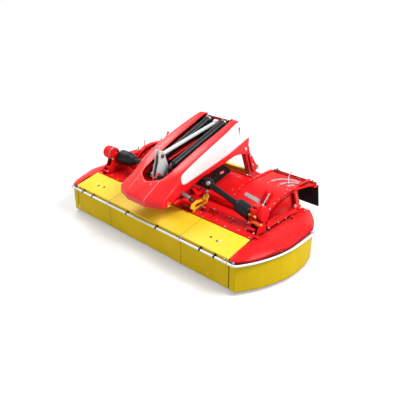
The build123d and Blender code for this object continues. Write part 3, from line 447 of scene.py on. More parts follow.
class Kit:
    """Small parts of one place, gathered by finish: kit[ZINC].bolt(...), then kit.pieces(name)."""

    def __init__(self):
        self.shapes = {}

    def __getitem__(self, label):
        return self.shapes.setdefault(label, Shape())

    def pieces(self, name, body="frame", bevel=0.8):
        for label, shape in self.shapes.items():
            shape.piece(f"{name}_{label}", label, body, bevel=bevel)


def lerp(a, b, t):
    return a + (b - a) * t


def steps(count, start=0.0, end=1.0):
    return [start + (end - start) * i / count for i in range(count + 1)]


def along(table, key):
    """Values of a table of (key, values...) rows between its rows, smoothly."""
    keys = [row[0] for row in table]
    values = np.array([np.ravel(row[1:]) for row in table], float)
    i = min(max(np.searchsorted(keys, key, side="right") - 1, 0), len(keys) - 2)
    span = keys[i + 1] - keys[i]
    t = (key - keys[i]) / span

    def slope(j):
        low, high = max(j - 1, 0), min(j + 1, len(keys) - 1)
        return (values[high] - values[low]) / (keys[high] - keys[low]) * span

    a, b = values[i], values[i + 1]
    return (
        (2 * t**3 - 3 * t**2 + 1) * a + (t**3 - 2 * t**2 + t) * slope(i)
        + (3 * t**2 - 2 * t**3) * b + (t**3 - t**2) * slope(i + 1)
    )


def polyline(points, key):
    """Second value of a polyline of pairs at a first value."""
    return float(np.interp(key, [p[0] for p in points], [p[1] for p in points]))


def circle_through(start, middle, end):
    """Centre and radius of the circle through three (x, y) points, as complex numbers."""
    a, b, c = (complex(*p) for p in (start, middle, end))
    w = (c - a) / (b - a)
    centre = (b - a) * (w - abs(w) ** 2) / (2j * w.imag) + a
    return centre, abs(a - centre)


def swept(centre, start, turn, count):
    """Evenly spaced (x, y) points round a centre from start."""
    points = [centre + (start - centre) * np.exp(1j * turn * t) for t in steps(count)]
    return [(float(p.real), float(p.imag)) for p in points]


def true_arc(start, middle, end, count):
    """Evenly spaced points on the circle through three (x, y) points."""
    centre, _ = circle_through(start, middle, end)
    a, c = complex(*start), complex(*end)
    return swept(centre, a, np.angle((c - centre) / (a - centre)), count)


def tangent_arc(start, heading, end, count):
    """Points on the circle that leaves start along heading and meets end, and the heading there."""
    a, h, b = complex(*start), complex(*heading), complex(*end)
    h /= abs(h)
    across = (b - a) / h
    centre = a + 1j * h * abs(across) ** 2 / (2 * across.imag)
    turn = np.angle((b - centre) / (a - centre))
    leave = h * np.exp(1j * turn)
    return swept(centre, a, turn, count), (float(leave.real), float(leave.imag))


# ---- cover of the carrying arms
# columns: station, then (x, height) of a cover's inner edge, shoulder, fold and foot
ARM_SECTIONS = (
    (190, (200, 1003), (385, 938), (415, 893), (428, 790)),
    (340, (209, 1072), (385, 1056), (417, 926), (426, 800)),
    (550, (223, 1168), (397, 1167), (420, 970), (424, 820)),
    (850, (236, 1292), (402, 1293), (422, 1032), (424, 900)),
    (1200, (247, 1414), (392, 1418), (420, 1108), (424, 950)),
    (1490, (250, 1514), (365, 1512), (420, 1200), (424, 980)),
    (1700, (250, 1514), (365, 1512), (420, 1270), (424, 980)),
)
ARM_EDGE = (  # lower edge of an arm cover: (station, height)
    (190, 790), (222, 802), (325, 823), (450, 850), (710, 940), (960, 984), (1120, 1005), (1360, 1060),
    (1480, 1050), (1560, 1030), (1636, 1036), (1668, 1080),
)
NOSE_LOW_EDGE = ((-19, 728), (111, 747), (190, 790))  # lower edge of the nose's side: (station, height)
NOSE_FROM, BAND_END, FOLD_END = 190.0, 1491.0, 1668.0  # stations
# (x, station, height) of the ends of the nose's ridge, of its front corner, and of its opening
RIDGE_FOOT, RIDGE_LIP = Vector((175, -120, 806)), Vector((174, -92, 706))
CORNER, CORNER_LIP = Vector((416, -19, 810)), Vector((428, -19, 728))
NOSE_TIP, NOSE_VERTEX = Vector((0, 73, 951)), Vector((178, 171, 996))
CORNER_SHARE = 0.3  # how far down the nose's corner the fold ends
VERTEX_SHARE = 0.9  # how far out from the middle the opening's vertex lies
BAND_STEPS, SIDE_STEPS, FOOT_STEPS, NOSE_STEPS, ARM_STEPS, MIDDLE_STEPS = 12, 10, 8, 22, 56, 10
BAND_CROWN, SIDE_CROWN, NOSE_CROWN = 9, 7, 5  # how far the sheet bulges between its edges
NOSE_BACK, CORNER_BACK = spot(0, 300, 0).y, spot(0, 150, 0).y  # what lies ahead of these is rounded more
CORNER_FROM, RIM_FROM = 0.27, 0.9  # metres across and up


def bulge(t):
    return 4 * t * (1 - t)


def band_point(d, t):
    """Point across a cover's top band, from the inner edge at 0 to the shoulder at 1."""
    inner, outer = np.split(along(ARM_SECTIONS, d)[:4], 2)
    x, z = lerp(inner, outer, t)
    return Vector((x, d, z + BAND_CROWN * bulge(t)))


def side_point(d, t):
    """Point down a cover's side, from the shoulder at 0 to the fold at 1."""
    outer, fold = np.split(along(ARM_SECTIONS, d)[2:6], 2)
    x, z = lerp(outer, fold, t)
    return Vector((x + SIDE_CROWN * bulge(t), d, z))


def foot_point(d, t):
    """Point down a cover's lower strip, from the fold at 0 to the lower edge at 1."""
    fold, foot = np.split(along(ARM_SECTIONS, d)[4:8], 2)
    low = polyline(ARM_EDGE, d)
    x_low = fold[0] + (foot[0] - fold[0]) * (fold[1] - low) / max(fold[1] - foot[1], 1)
    return Vector((lerp(fold[0], x_low, t), d, lerp(fold[1], low, t)))


def nose_edge(u):
    """Lower edge of the nose's side, from its rear at 0 to the front corner at 1."""
    d = lerp(NOSE_FROM, CORNER_LIP.y, u)
    return Vector((CORNER_LIP.x, d, polyline(NOSE_LOW_EDGE, d)))


def cover_rows():
    """Rows of the right cover's skin from inner edge to foot, each from the nose's front to the rear."""
    rows = []
    corner_fold = CORNER.lerp(CORNER_LIP, CORNER_SHARE)
    forward = steps(NOSE_STEPS, 1.0, 0.0)[:-1]

    def add(nose, point, t, end):
        rows.append(nose + [point(d, t) for d in steps(ARM_STEPS, NOSE_FROM, end)])

    for t in steps(BAND_STEPS):
        start, front = band_point(NOSE_FROM, t), RIDGE_FOOT.lerp(CORNER, t)
        add([start.lerp(front, u) for u in forward], band_point, t, BAND_END)
    for t in steps(SIDE_STEPS)[1:]:
        start, front = side_point(NOSE_FROM, t), CORNER.lerp(corner_fold, t)
        add([start.lerp(front, u) for u in forward], side_point, t, lerp(BAND_END, FOLD_END, t))
    fold = side_point(NOSE_FROM, 1)
    for t in steps(FOOT_STEPS)[1:]:
        nose = [fold.lerp(corner_fold, u).lerp(nose_edge(u), t) for u in forward]
        add(nose, foot_point, t, FOLD_END - 10 * t)
    return rows


def lip_rows(top, low):
    """Rows down the nose's front lip, between the points of its top edge and of its low edge."""
    shares = [CORNER_SHARE * t for t in steps(SIDE_STEPS)]
    shares += [lerp(CORNER_SHARE, 1, t) for t in steps(FOOT_STEPS)[1:]]
    return [[a.lerp(b, share) for a, b in zip(top, low)] for share in shares]


def from_middle(end, s):
    return Vector((end.x * s, end.y, end.z))


def nose_middle_rows():
    """Rows of the nose's middle panel from the centre line to the ridge, each from the opening forward."""
    inner = band_point(NOSE_FROM, 0)
    rows = []
    for s in steps(MIDDLE_STEPS):
        top = NOSE_TIP.lerp(NOSE_VERTEX, s / VERTEX_SHARE)
        if s >= VERTEX_SHARE:
            top = NOSE_VERTEX.lerp(inner, (s - VERTEX_SHARE) / 0.1)
        front, crown = from_middle(RIDGE_FOOT, s), Vector((0, 0, NOSE_CROWN * (1 - s)))
        rows.append([top.lerp(front, u) + crown * bulge(u) for u in steps(NOSE_STEPS)])
    return rows


def placed(rows, s):
    """Frame points on the side s from rows of (x, station, height) vectors."""
    return [[spot(s * p.x, p.y, p.z) for p in row] for row in rows]


def at_corner(vert):
    return abs(vert.co.x) > CORNER_FROM and vert.co.y < CORNER_BACK


def make_cover():
    """One skin of both covers and the nose, with its creases rounded. Returns it for what lies on it."""
    fronts = (RIDGE_FOOT, CORNER), (RIDGE_LIP, CORNER_LIP)
    outer = [[ridge.lerp(corner, t) for t in steps(BAND_STEPS)] for ridge, corner in fronts]
    inner = [[from_middle(end, t) for t in steps(MIDDLE_STEPS)] for end in (RIDGE_FOOT, RIDGE_LIP)]
    fronts = lip_rows(*outer), nose_middle_rows(), lip_rows(*inner)
    shape = Shape()
    for _, s in SIDES:
        shape.grid(placed(cover_rows(), s), turn=s < 0)
        for rows in fronts:
            shape.grid(placed(rows, s), turn=s > 0)
    shape.weld()
    shape.relax(2)
    for _ in range(5):
        shape.relax(3, at_corner)
        shape.round_rim(3, at_corner)
    shape.relax(5, lambda v: v.co.y < NOSE_BACK)
    shape.round_rim(10, lambda v: v.co.z > RIM_FROM and v.co.y < NOSE_BACK)
    shape.outward()
    skin = BVHTree.FromBMesh(shape.mesh)
    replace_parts(shape.piece("cover_shell", "cover_red", angle=60, thick=6), "arm_covers", "nose_cover")
    return skin


CREASES = (  # thin pale-red beads along the folds, painted highlights: places, radius
    (((185, 160, 985), (180, 100, 949), (177, -20, 880), (175, -80, 840), (176, -106, 806),
        (182, -98, 764)), 5),
    (((-188, 150, 982), (-184, 60, 924), (-180, -20, 868), (-177, -70, 834)), 3),
)


def make_cover_trim(skin):
    kit = Kit()
    for line, radius in CREASES:
        points = [spot(*a).lerp(spot(*b), t) for a, b in zip(line, line[1:]) for t in steps(6)[:-1]]
        # a pale-red bead on each crease is a painted highlight
        kit[HIGHLIGHT].tube([skin.find_nearest(point)[0] for point in points], radius, 10)
    kit[STEEL].bolts(Vector((0, -0.56, 0.83)), 6.5, (-135, 80, 945), (99, 80, 943))
    for _, s in SIDES:
        out = Vector((s, -0.3, 0.05)).normalized()
        foot = spot(s * 423, 76, 766)
        kit[ORANGE].turned(foot - out * 0.01, foot + out, [(0, 40), (13, 38), (16, 28)])
        kit[GOLD].bolt(foot + mm(0, 0, -18) + out * 0.004, out, 13)
    kit.pieces("nose_trim")


# black sheet of painted shade under the springs: half width, stations, lift over the covers' lower edge
SHADE_TRAY_HALF, SHADE_TRAY_FROM, SHADE_TRAY_TO, SHADE_TRAY_LIFT = 404, 330, 1470, 22


def make_cover_shade():
    """Painted shade inside the covers: near-black red inner faces and a black tray under the springs; and the
    brace at the covers' rear.
    """
    stations = steps(30, NOSE_FROM + 10, BAND_END - 6)
    # columns: skin, shares across it, how far the lining of painted shade lies inside it
    skins = (
        (band_point, steps(6, 0.03), (0, 0, -10)), (side_point, steps(6)[1:], (-10, 0, -2)),
        (foot_point, steps(4, 0, 0.93)[1:], (-10, 0, 0)),
    )
    shape, shade_tray, brace = Shape(), Shape(), Shape()
    floor = [(d, polyline(ARM_EDGE, d) + SHADE_TRAY_LIFT) for d in steps(24, SHADE_TRAY_FROM, SHADE_TRAY_TO)]
    for _, s in SIDES:
        rows = [[point(d, t) + Vector(inset) for d in stations] for point, ts, inset in skins for t in ts]
        shape.grid(placed(rows, s), turn=s > 0)
    # painted shade: a near-black red sheet just inside the covers
    shape.piece("cover_shade_lining", SHADE, thick=1.5)
    # painted shade: a black sheet under the springs and an upright one at its rear
    shade_tray.grid([[(x, d, z) for x in (-SHADE_TRAY_HALF, -200, 0, 200, SHADE_TRAY_HALF)] for d, z in floor])
    shade_tray.grid([[(x, SHADE_TRAY_TO, z) for x in (-SHADE_TRAY_HALF, 0, SHADE_TRAY_HALF)] for z in (1070, 1280, 1440)])
    shade_tray.piece("spring_shade_tray", RUBBER, thick=3, outward=False)
    brace.block((-352, 1474, 1430), (352, 1480, 1506))
    brace.piece("rear_brace", RED, bevel=1)


PANEL_TIP = 331.0
# columns: station, share of the way from the shoulder down to the fold, of a side panel's edges
PANEL_TOP = ((331, 0.37), (336, 0.20), (345, 0.09), (362, 0.015), (400, 0.0), (1700, 0.0))
PANEL_FOOT = ((331, 0.37), (333, 0.55), (339, 0.72), (352, 0.86), (380, 0.95), (432, 0.995), (1700, 1.0))
PANEL_LIFT = Vector((1.8, 0, 0.4))  # off the cover's skin
PANEL_EASE = 1.6  # crowds the panel's points towards its tip


def panel_row(t):
    stations = [lerp(PANEL_TIP, lerp(BAND_END, FOLD_END, t) - 2, u**PANEL_EASE) for u in steps(90)]
    shares = [lerp(polyline(PANEL_TOP, d), polyline(PANEL_FOOT, d), t) for d in stations]
    return [side_point(d, share) + PANEL_LIFT for d, share in zip(stations, shares)]


def make_side_panels():
    """White side panels of the covers: a blunt tip in front, the cover's own edges above and below."""
    rows = [panel_row(t) for t in steps(14)]
    for side, s in SIDES:
        shape = Shape().grid(placed(rows, s), turn=s > 0)
        shape.weld(0.0005)
        shape.piece(f"side_panel_{side}", WHITE, thick=1.5)


# ---- side guards
GUARD_INNER, GUARD_LIP, GUARD_CROWN, GUARD_EDGE, CROWN_RUN = 1509.0, 429.0, 549.0, 466.0, 250.0
GUARD_ARCS = (  # plan outline: start, middle and end of each arc as (x, station)
    ((1572, 0), (1746, 270), (1843, 720)), ((1843, 720), (1836, 955), (1821, 1190)),
    ((1821, 1190), (1722, 1430), (1531, 1632)), ((1531, 1632), (1520, 1640), (1509, 1646)),
)
# columns: (x, station) of an edge point, direction of the edge there, its height, distance up to the crown
GUARD_EDGES = (
    ((1560, -1), (1, 0), 468, 388), ((1749, 270), (33, 70), GUARD_EDGE, CROWN_RUN),
    ((1600, 30), (60, 60), GUARD_EDGE, 330), ((1846, 900), (0, 1), GUARD_EDGE, CROWN_RUN),
    ((1728, 1430), (-30, 42), GUARD_EDGE, CROWN_RUN), ((1450, 1740), (-1, 0), GUARD_EDGE, CROWN_RUN),
)
EDGE_BLEND = 4.0  # how softly the slopes from two edges meet
GUARD_PIVOT = (1508.0, 560.0)  # (x, height)
GUARD_KNUCKLES, KNUCKLE_HALF = (490.0, 1220.0), 20.0
GUARD_STRAP = ((-2, -8), (24, -12), (40, -12), (40, -8), (6, 7))  # (x, height) from the pivot
LIP_SHIFT = 1.5  # how far the lip's strip of painted shade stands off the skin
OUTLINE_STEP = 26  # between points of the outline
ROW_FROM, ROW_TO, GUARD_ROWS = 6, 1640, 20  # stations of the inmost row of the skin, number of rows


def arc(start, middle, end, count):
    """Points on the parabola through three (x, y) points."""
    weights = [((1 - t) * (1 - 2 * t), 4 * t * (1 - t), t * (2 * t - 1)) for t in steps(count)]
    return np.dot(weights, (start, middle, end)).tolist()


def guard_outline():
    outline = [(x, 0.0) for x in steps(4, GUARD_INNER, GUARD_ARCS[0][0][0])[:-1]]
    for start, middle, end in GUARD_ARCS:
        outline += arc(start, middle, end, max(int(math.dist(start, end) / OUTLINE_STEP), 2))[:-1]
    return outline + [GUARD_ARCS[-1][-1]]


def guard_height(x, d):
    """Height of a guard's skin over a place in plan."""
    total = 0.0
    for (ex, ed), (hx, hd), start, run in GUARD_EDGES:
        rise = GUARD_CROWN - start
        radius = (run**2 + rise**2) / (2 * rise)
        away = ((d - ed) * hx - (x - ex) * hd) / math.hypot(hx, hd)
        from_crown = min(max(run - away, 0.0), run * 1.1)
        height = GUARD_CROWN - radius + math.sqrt(radius**2 - from_crown**2)
        total += math.exp(-(height - GUARD_EDGE) / EDGE_BLEND)
    return GUARD_EDGE - EDGE_BLEND * math.log(total)


def make_guard(side, s, outline):
    body, hinge = f"guard_{side}", Shape()
    rows = [[(s * x, d, GUARD_LIP) for x, d in outline]]
    inmost = [(GUARD_INNER, min(max(d, ROW_FROM + 0.02 * d), ROW_TO)) for _, d in outline]
    for t in [share**1.5 for share in steps(GUARD_ROWS)]:
        row = [(lerp(x, ix, t), lerp(d, inner, t)) for (x, d), (ix, inner) in zip(outline, inmost)]
        rows.append([(s * x, d, guard_height(x, d)) for x, d in row])
    shape = Shape().grid(rows, turn=s < 0)
    shape.weld(0.0004)
    shape.relax(1)
    skin = shape.piece(f"guard_skin_{side}", RED, body, angle=50, thick=5, bevel=1.2)
    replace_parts(skin, f"side_guard_{side}")
    # painted shade: a darker red strip over the lip, which faces away from the lamps
    low, high = [], []
    for (ax, ad), (x, d), (bx, bd) in zip(outline[:1] + outline, outline, outline[1:] + outline[-1:]):
        out = LIP_SHIFT / math.dist((ax, ad), (bx, bd))
        lip_x, lip_d = x + out * (bd - ad), d - out * (bx - ax)
        low.append((s * lip_x, lip_d, GUARD_LIP))
        high.append((s * lip_x, lip_d, guard_height(x, d) - LIP_SHIFT))
    Shape().grid([low, high], turn=s > 0).piece(f"guard_lip_{side}", "lip_red", body, thick=1, outward=False)
    x, z = GUARD_PIVOT
    for d in GUARD_KNUCKLES:
        front = d - KNUCKLE_HALF
        hinge.rod((s * x, front, z), (s * x, d + KNUCKLE_HALF, z), 9)
        hinge.slab([(s * (x + px), front, z + pz) for px, pz in GUARD_STRAP], mm(0, 2 * KNUCKLE_HALF, 0))
        hinge.bolts(UP, 5, *((s * (x + 32), d + step, z - 8) for step in (-10, 10)))
    hinge.piece(f"guard_knuckles_{side}", RED, body, bevel=0.8)


# ---- lids, skirts and rear curtains
LID_HALF, LID_SPLIT, LID_SEAM = 1495.0, 712.5, 5.0
LID_EDGE = LID_SPLIT - LID_SEAM / 2
# columns: name, ends across the machine, body
LIDS = (
    ("centre", -LID_EDGE, LID_EDGE, "frame"), ("left", -LID_HALF, -LID_EDGE - LID_SEAM, "flap_left"),
    ("right", LID_EDGE + LID_SEAM, LID_HALF, "flap_right"),
)
LID_TOP = ((6, 470), (388, 557))  # (station, height) of the lid's front and rear edges
LID_SECTION = (
    (388, 557), (10, 471), (3, 468.5), (0, 463), (0, 420), (5, 420), (5, 462), (8, 465), (389, 552),
)
FLAP_PIVOT = (396.0, 559.0)  # (station, height)
FLAP_KNUCKLES = (800.0, 1400.0)
FLAP_STRAP = ((360, 546), (388, 552.5), (392, 553), (392, 558), (360, 550))
SKIRT_STATION, SKIRT_LOW, SKIRT_HIGH, SIDE_SKIRT_HIGH = 7.5, 50.0, 445.0, 410.0
RIVET_PITCH, RIVET_MARGIN, RIVET_DROP = 140, 45, 35  # along a front skirt, from its ends, below its top
# plan arcs of a side skirt as (x, station) points: its top edge behind the rail, and its hem
SKIRT_TOP_ARCS = (((1600, 6), (1780, 385), (1848, 810)), ((1848, 810), (1842, 1060), (1797, 1284)))
HEM_ARCS = (((1600, 6), (1793, 385), (1873, 820)), ((1873, 820), (1864, 1060), (1799, 1286)))
BEND_RUN = 91.0  # run to a side skirt's bend, where it hangs straight
END_REACH, BEND_REACH = 60, 80  # runs from its front end and from the bend over which its waves grow
SIDE_PHASE, SIDE_LEAN = 500, 1.1  # shift and size of its waves
CLOTH_WAVES = ((3.2, 170, 0), (2.0, 71, 1.3), (1.1, 33, 0.4))  # height, run of one radian, phase
SKIRT_STEP, SKIRT_STUD = 14, (1170, 0.8, 130)  # between points across; place, share of the drop, height
KNUCKLE_WIDE = 38
CURTAIN_IN, CURTAIN_OUT, CURTAIN_HEM_OUT, CURTAIN_LOW, CURTAIN_HIGH = 672, 1405, 1445, 395, 699.5
CURTAIN_STATION, CURTAIN_WAVE, CURTAIN_SPAN = 2006.5, 1.2, 60
CURTAIN_FLAT, CURTAIN_FILLED = (0.773, 0.3045), 0.973  # metres, and the share of that rectangle that is cloth


def lid_height(d):
    return polyline(LID_TOP, d)


def make_lids():
    """Folded sheet lids, smooth on top; the flaps' hinge knuckles are small and red like the deck."""
    d, z = FLAP_PIVOT
    for name, low, high, body in LIDS:
        shape = Shape()
        shape.plate(low, high - low, LID_SECTION)
        lid = shape.piece(f"lid_{name}", YELLOW, body, angle=40, bevel=1.2)
        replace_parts(lid, f"front_cover_{name}")
        if name != "centre":
            hinge = Shape()
            for x in [math.copysign(middle, low) - KNUCKLE_WIDE / 2 for middle in FLAP_KNUCKLES]:
                hinge.rod((x, d, z), (x + KNUCKLE_WIDE, d, z), 6.8)
                hinge.plate(x, KNUCKLE_WIDE, FLAP_STRAP)
            hinge.piece(f"flap_knuckles_{name}", RED, body)


def cloth_wave(run, down, lean=1.0):
    """How far cloth stands off its plane, in millimetres, at a run along it and a share of its drop."""
    return lean * sum(high * math.sin(run / span + phase) for high, span, phase in CLOTH_WAVES) * down**1.3


def front_skirt(name, low, high, body):
    places = steps(int((high - low) / SKIRT_STEP), low, high)
    rivets = Shape()
    rows = [
        [(x, SKIRT_STATION + cloth_wave(x, down), lerp(SKIRT_HIGH, SKIRT_LOW, down)) for x in places]
        for down in steps(26)
    ]
    cloth = Shape().grid(rows).piece(f"skirt_{name}", "skirt_cloth", body, thick=3, outward=False)
    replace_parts(cloth, f"front_skirt_{name}")
    (high - low) / 1000
    for x in steps(max(int((high - low) / RIVET_PITCH), 2), low + RIVET_MARGIN, high - RIVET_MARGIN):
        rivets.bolt((x, 7, SKIRT_HIGH - RIVET_DROP), AHEAD, 5)
    if name != "centre":
        x, down, z = SKIRT_STUD
        x = math.copysign(x, low)
        rivets.bolt((x, 7 + cloth_wave(x, down), z), AHEAD, 8)
    rivets.piece(f"skirt_rivets_{name}", ZINC, body)


def skirt_plan(arcs):
    front = [(x, 6.0) for x in steps(6, GUARD_INNER, 1600)][:-1]
    return front + true_arc(*arcs[0], 60)[:-1] + true_arc(*arcs[1], 36)


def side_skirt(side, s):
    top, hem = skirt_plan(SKIRT_TOP_ARCS), skirt_plan(HEM_ARCS)
    runs = [0.0]
    for a, b in zip(hem, hem[1:]):
        runs.append(runs[-1] + math.dist(a, b))
    rows = []
    for down in steps(24):
        row = []
        for i, (high, low) in enumerate(zip(top, hem)):
            a, b = hem[max(i - 1, 0)], hem[min(i + 1, len(hem) - 1)]
            hold = min(runs[i] / END_REACH, 1.0) * min(abs(runs[i] - BEND_RUN) / BEND_REACH, 1.0)
            off = (1 + hold * cloth_wave(runs[i] + SIDE_PHASE, down, SIDE_LEAN)) / math.dist(a, b)
            x = lerp(high[0], low[0], down) + off * (b[1] - a[1])
            d = lerp(high[1], low[1], down) - off * (b[0] - a[0])
            row.append((s * x, d, lerp(SIDE_SKIRT_HIGH, SKIRT_LOW, down)))
        rows.append(row)
    shape, body = Shape().grid(rows, turn=s < 0), f"guard_{side}"
    cloth = shape.piece(f"skirt_side_{side}", "skirt_cloth", body, thick=3, outward=False)
    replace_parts(cloth, f"side_skirt_{side}")
    runs[-1] / 1000


def rear_curtain(side, s):
    rows = []
    for down in steps(20):
        across = steps(40, CURTAIN_IN, lerp(CURTAIN_OUT, CURTAIN_HEM_OUT, down))
        z = lerp(CURTAIN_HIGH, CURTAIN_LOW, down)
        waves = [CURTAIN_WAVE * math.sin(x / CURTAIN_SPAN + s) for x in across]
        rows.append([(s * x, CURTAIN_STATION + wave * down, z) for x, wave in zip(across, waves)])
    cloth = Shape().grid(rows, turn=s < 0).piece(f"curtain_{side}", RUBBER, thick=4, outward=False)
    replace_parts(cloth, "rear_curtains")
    area = CURTAIN_FLAT[0] * CURTAIN_FLAT[1] * CURTAIN_FILLED


# ---- drive shaft guards and relief springs
# columns: places of the ends of a guard's axis, (distance along it, radius) sections, ribbed part (none if
# it lies beyond them)
BELLS = (
    ((124, 720, 858), (500, 714, 876),
        ((0, 84), (66, 84), (82, 78), (150, 48), (330, 46), (380, 48)), (4000, 4000)),
    ((525, 711, 881), (1290, 655, 725),
        ((-78, 44), (-68, 60), (-44, 72), (-10, 77), (20, 76), (44, 64), (54, 46), (70, 38), (520, 37),
        (530, 58), (548, 78), (572, 89), (600, 92), (760, 94), (766, 97), (783, 97)), (590, 750)),
    ((-124, 720, 847), (-1290, 720, 772),
        ((0, 84), (66, 84), (82, 78), (206, 42), (836, 40), (848, 56), (861, 64), (916, 82), (976, 104),
        (1016, 110), (1138, 110), (1144, 113), (1162, 112)), (876, 1136)),
)
RIB_PITCH, RIB_DEPTH = 20, 1.6


def make_bells():
    shape = Shape()
    for start, end, sections, (rib_from, rib_to) in BELLS:
        ribbed = range(rib_from, rib_to + 1, RIB_PITCH // 5)
        profile = []
        for far in sorted({key for key, _ in sections} | {key for key in ribbed if key <= sections[-1][0]}):
            radius = polyline(sections, far)
            if rib_from <= far <= rib_to:
                radius -= RIB_DEPTH * (0.5 - 0.5 * math.cos((far - rib_from) * 2 * math.pi / RIB_PITCH))
            profile.append((far, radius))
        shape.turned(start, end, profile, 48)
    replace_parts(shape.piece("shaft_bells", PLASTIC, angle=40), "shaft_guards")


# columns: places of the lower and the upper end of a spring's cylinder
SPRINGS = (((135, 450, 1112), (135, 1455, 1464)), ((-150, 440, 1080), (-150, 1455, 1464)))
SPRING_R, TURN_DEPTH = 50, 1.2  # the winding's grooves show this deep through the cylinder
WOUND_FROM, WOUND_ENDS, TURN_STEP = 20, 50, 6  # start of the winding, both plain ends, point spacing


def make_springs():
    body, ends, rods = Shape(), Shape(), Shape()
    for start, end in SPRINGS:
        start, end = spot(*start), spot(*end)
        length = (end - start).length * 1000
        axis = (end - start).normalized()
        wound = length - WOUND_ENDS
        count = int(wound / TURN_STEP)
        grooves = [TURN_DEPTH * (0.5 - 0.5 * math.cos(k * math.pi * 2 / 3)) for k in range(count)]
        turns = [(WOUND_FROM + k * wound / count, SPRING_R + 0.5 - depth) for k, depth in enumerate(grooves)]
        tail = [(length - 22, SPRING_R), (length - 12, 48), (length - 4, 40)]
        body.turned(start, end, [(0, 30), (4, 46), (12, SPRING_R)] + turns + tail)
        rods.rod(start - axis * 0.096, start, 16, 18, 2)
        rods.turned(start - axis * 0.012, start, [(0, 26), (4, 34), (14, 34)], 24)
        ends.turned(end, end + axis, [(-30, 51.5), (-26, 52.5), (-12, 52.5), (-8, 51.5)])
        rods.turned(end, end + axis, [(-8, 50), (0, 53.5), (12, 53.5), (18, 30), (26, 30)])
        ends.turned(end, end + axis, [(16, 22), (36, 22), (40, 17), (52, 17)], 6)
    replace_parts(body.piece("spring_tubes", PAINT, angle=50), "relief_springs")
    ends.piece("spring_ends", DULL, bevel=1)
    rods.piece("spring_rods", PAINT, bevel=1)


# ---- rails along the skirts
RAIL_R, RAIL_Z, RAIL_STATION, RAIL_SPLIT, RAIL_GAP = 14.5, 426.0, -32.0, 1496.0, 6.0
# columns: rail, its ends across the machine, places of its black and of its silver clips, body
FRONT_RAILS = (
    ("centre", -710.0, 710.0, (-295, 295), (), "frame"),
    ("left", RAIL_GAP - RAIL_SPLIT, -715.0, (-1300, -1070), (-1440, -733), "flap_left"),
    ("right", 715.0, RAIL_SPLIT - RAIL_GAP, (1070, 1300), (733, 1440), "flap_right"),
)
# columns: (x, station) of the end of each arc of a side rail, its steps
SIDE_RAIL_ARCS = (((1635, 10), 14), ((1866, 800), 50), ((1828, 1300), 32))
SIDE_RAIL_MID, SIDE_RAIL_BEND = 1530.0, 1560.0  # on its straight part, and where its first arc begins
SIDE_CLIPS = (0.05, 0.53, 0.95)  # shares of a side rail's length
SADDLE_R, CLIP_HALF, TAB_FROM, TAB_THICK, TAB_HIGH = 17.5, 13, 21.5, 6, 34


def clip(shape, foot, out):
    """Clip between a rail and the sheet behind it: a saddle over the rail and a short bolted tab."""
    side = Vector((-out.y, out.x, 0))
    turns = steps(8, math.radians(-40), math.radians(200))
    saddle = [foot + (math.cos(a) * out + Vector((0, 0, math.sin(a)))) * (SADDLE_R / 1000) for a in turns]
    inner = [foot + (p - foot) * 0.9 for p in reversed(saddle)]
    back, up = foot - out * (TAB_FROM / 1000), mm(0, 0, TAB_HIGH)
    behind = back - out * (TAB_THICK / 1000)
    for outline in (saddle + inner, [back, behind, behind + up, back + up]):
        shape.slab([p - side * (CLIP_HALF / 1000) for p in outline], side * (CLIP_HALF / 500))
    shape.bolt(back + mm(0, 0, 25), out, 7)


def make_rails():
    for name, low, high, black, silver, body in FRONT_RAILS:
        rail, clips = Shape(), Kit()
        rail.rod((low, RAIL_STATION, RAIL_Z), (high, RAIL_STATION, RAIL_Z), RAIL_R, 24, 3)
        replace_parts(rail.piece(f"rail_{name}", WHITE, body, angle=40), f"front_rail_{name}")
        for places, label in ((black, PLASTIC), (silver, ZINC)):
            for x in places:
                clip(clips[label], spot(x, RAIL_STATION, RAIL_Z), AHEAD)
        clips.pieces(f"rail_clips_{name}", body)
    for side, s in SIDES:
        start, heading = (SIDE_RAIL_BEND, RAIL_STATION), (1.0, 0.0)
        path = [(RAIL_SPLIT + RAIL_GAP, RAIL_STATION), (SIDE_RAIL_MID, RAIL_STATION)]
        for end, count in SIDE_RAIL_ARCS:
            points, heading = tangent_arc(start, heading, end, count)
            path += points[:-1]
            start = end
        path.append(start)
        rail, clips, body = Shape(), Kit(), f"guard_{side}"
        rail.tube([(s * x, d, RAIL_Z) for x, d in path], RAIL_R, 24)
        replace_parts(rail.piece(f"rail_side_{side}", WHITE, body, angle=40), f"side_rail_{side}")
        for i in [int(share * (len(path) - 2)) + 1 for share in SIDE_CLIPS]:
            (ax, ad), (bx, bd) = path[i - 1], path[i + 1]
            out = Vector((s * (bd - ad), ax - bx, 0)).normalized()
            clip(clips[ZINC], spot(s * path[i][0], path[i][1], RAIL_Z), out)
        clips.pieces(f"rail_clips_side_{side}", body)


# ---- seams, latches and guard trim
GUARD_RIM_BOLTS = ((1600, 32), (1733, 262), (1828, 545), (1838, 900))  # (x, station)
LATCH_PINS = ((1060, 176), (1172, 160))
LATCH_TAIL = ((1178, 150), (1190, 158), (1226, 206), (1212, 206))


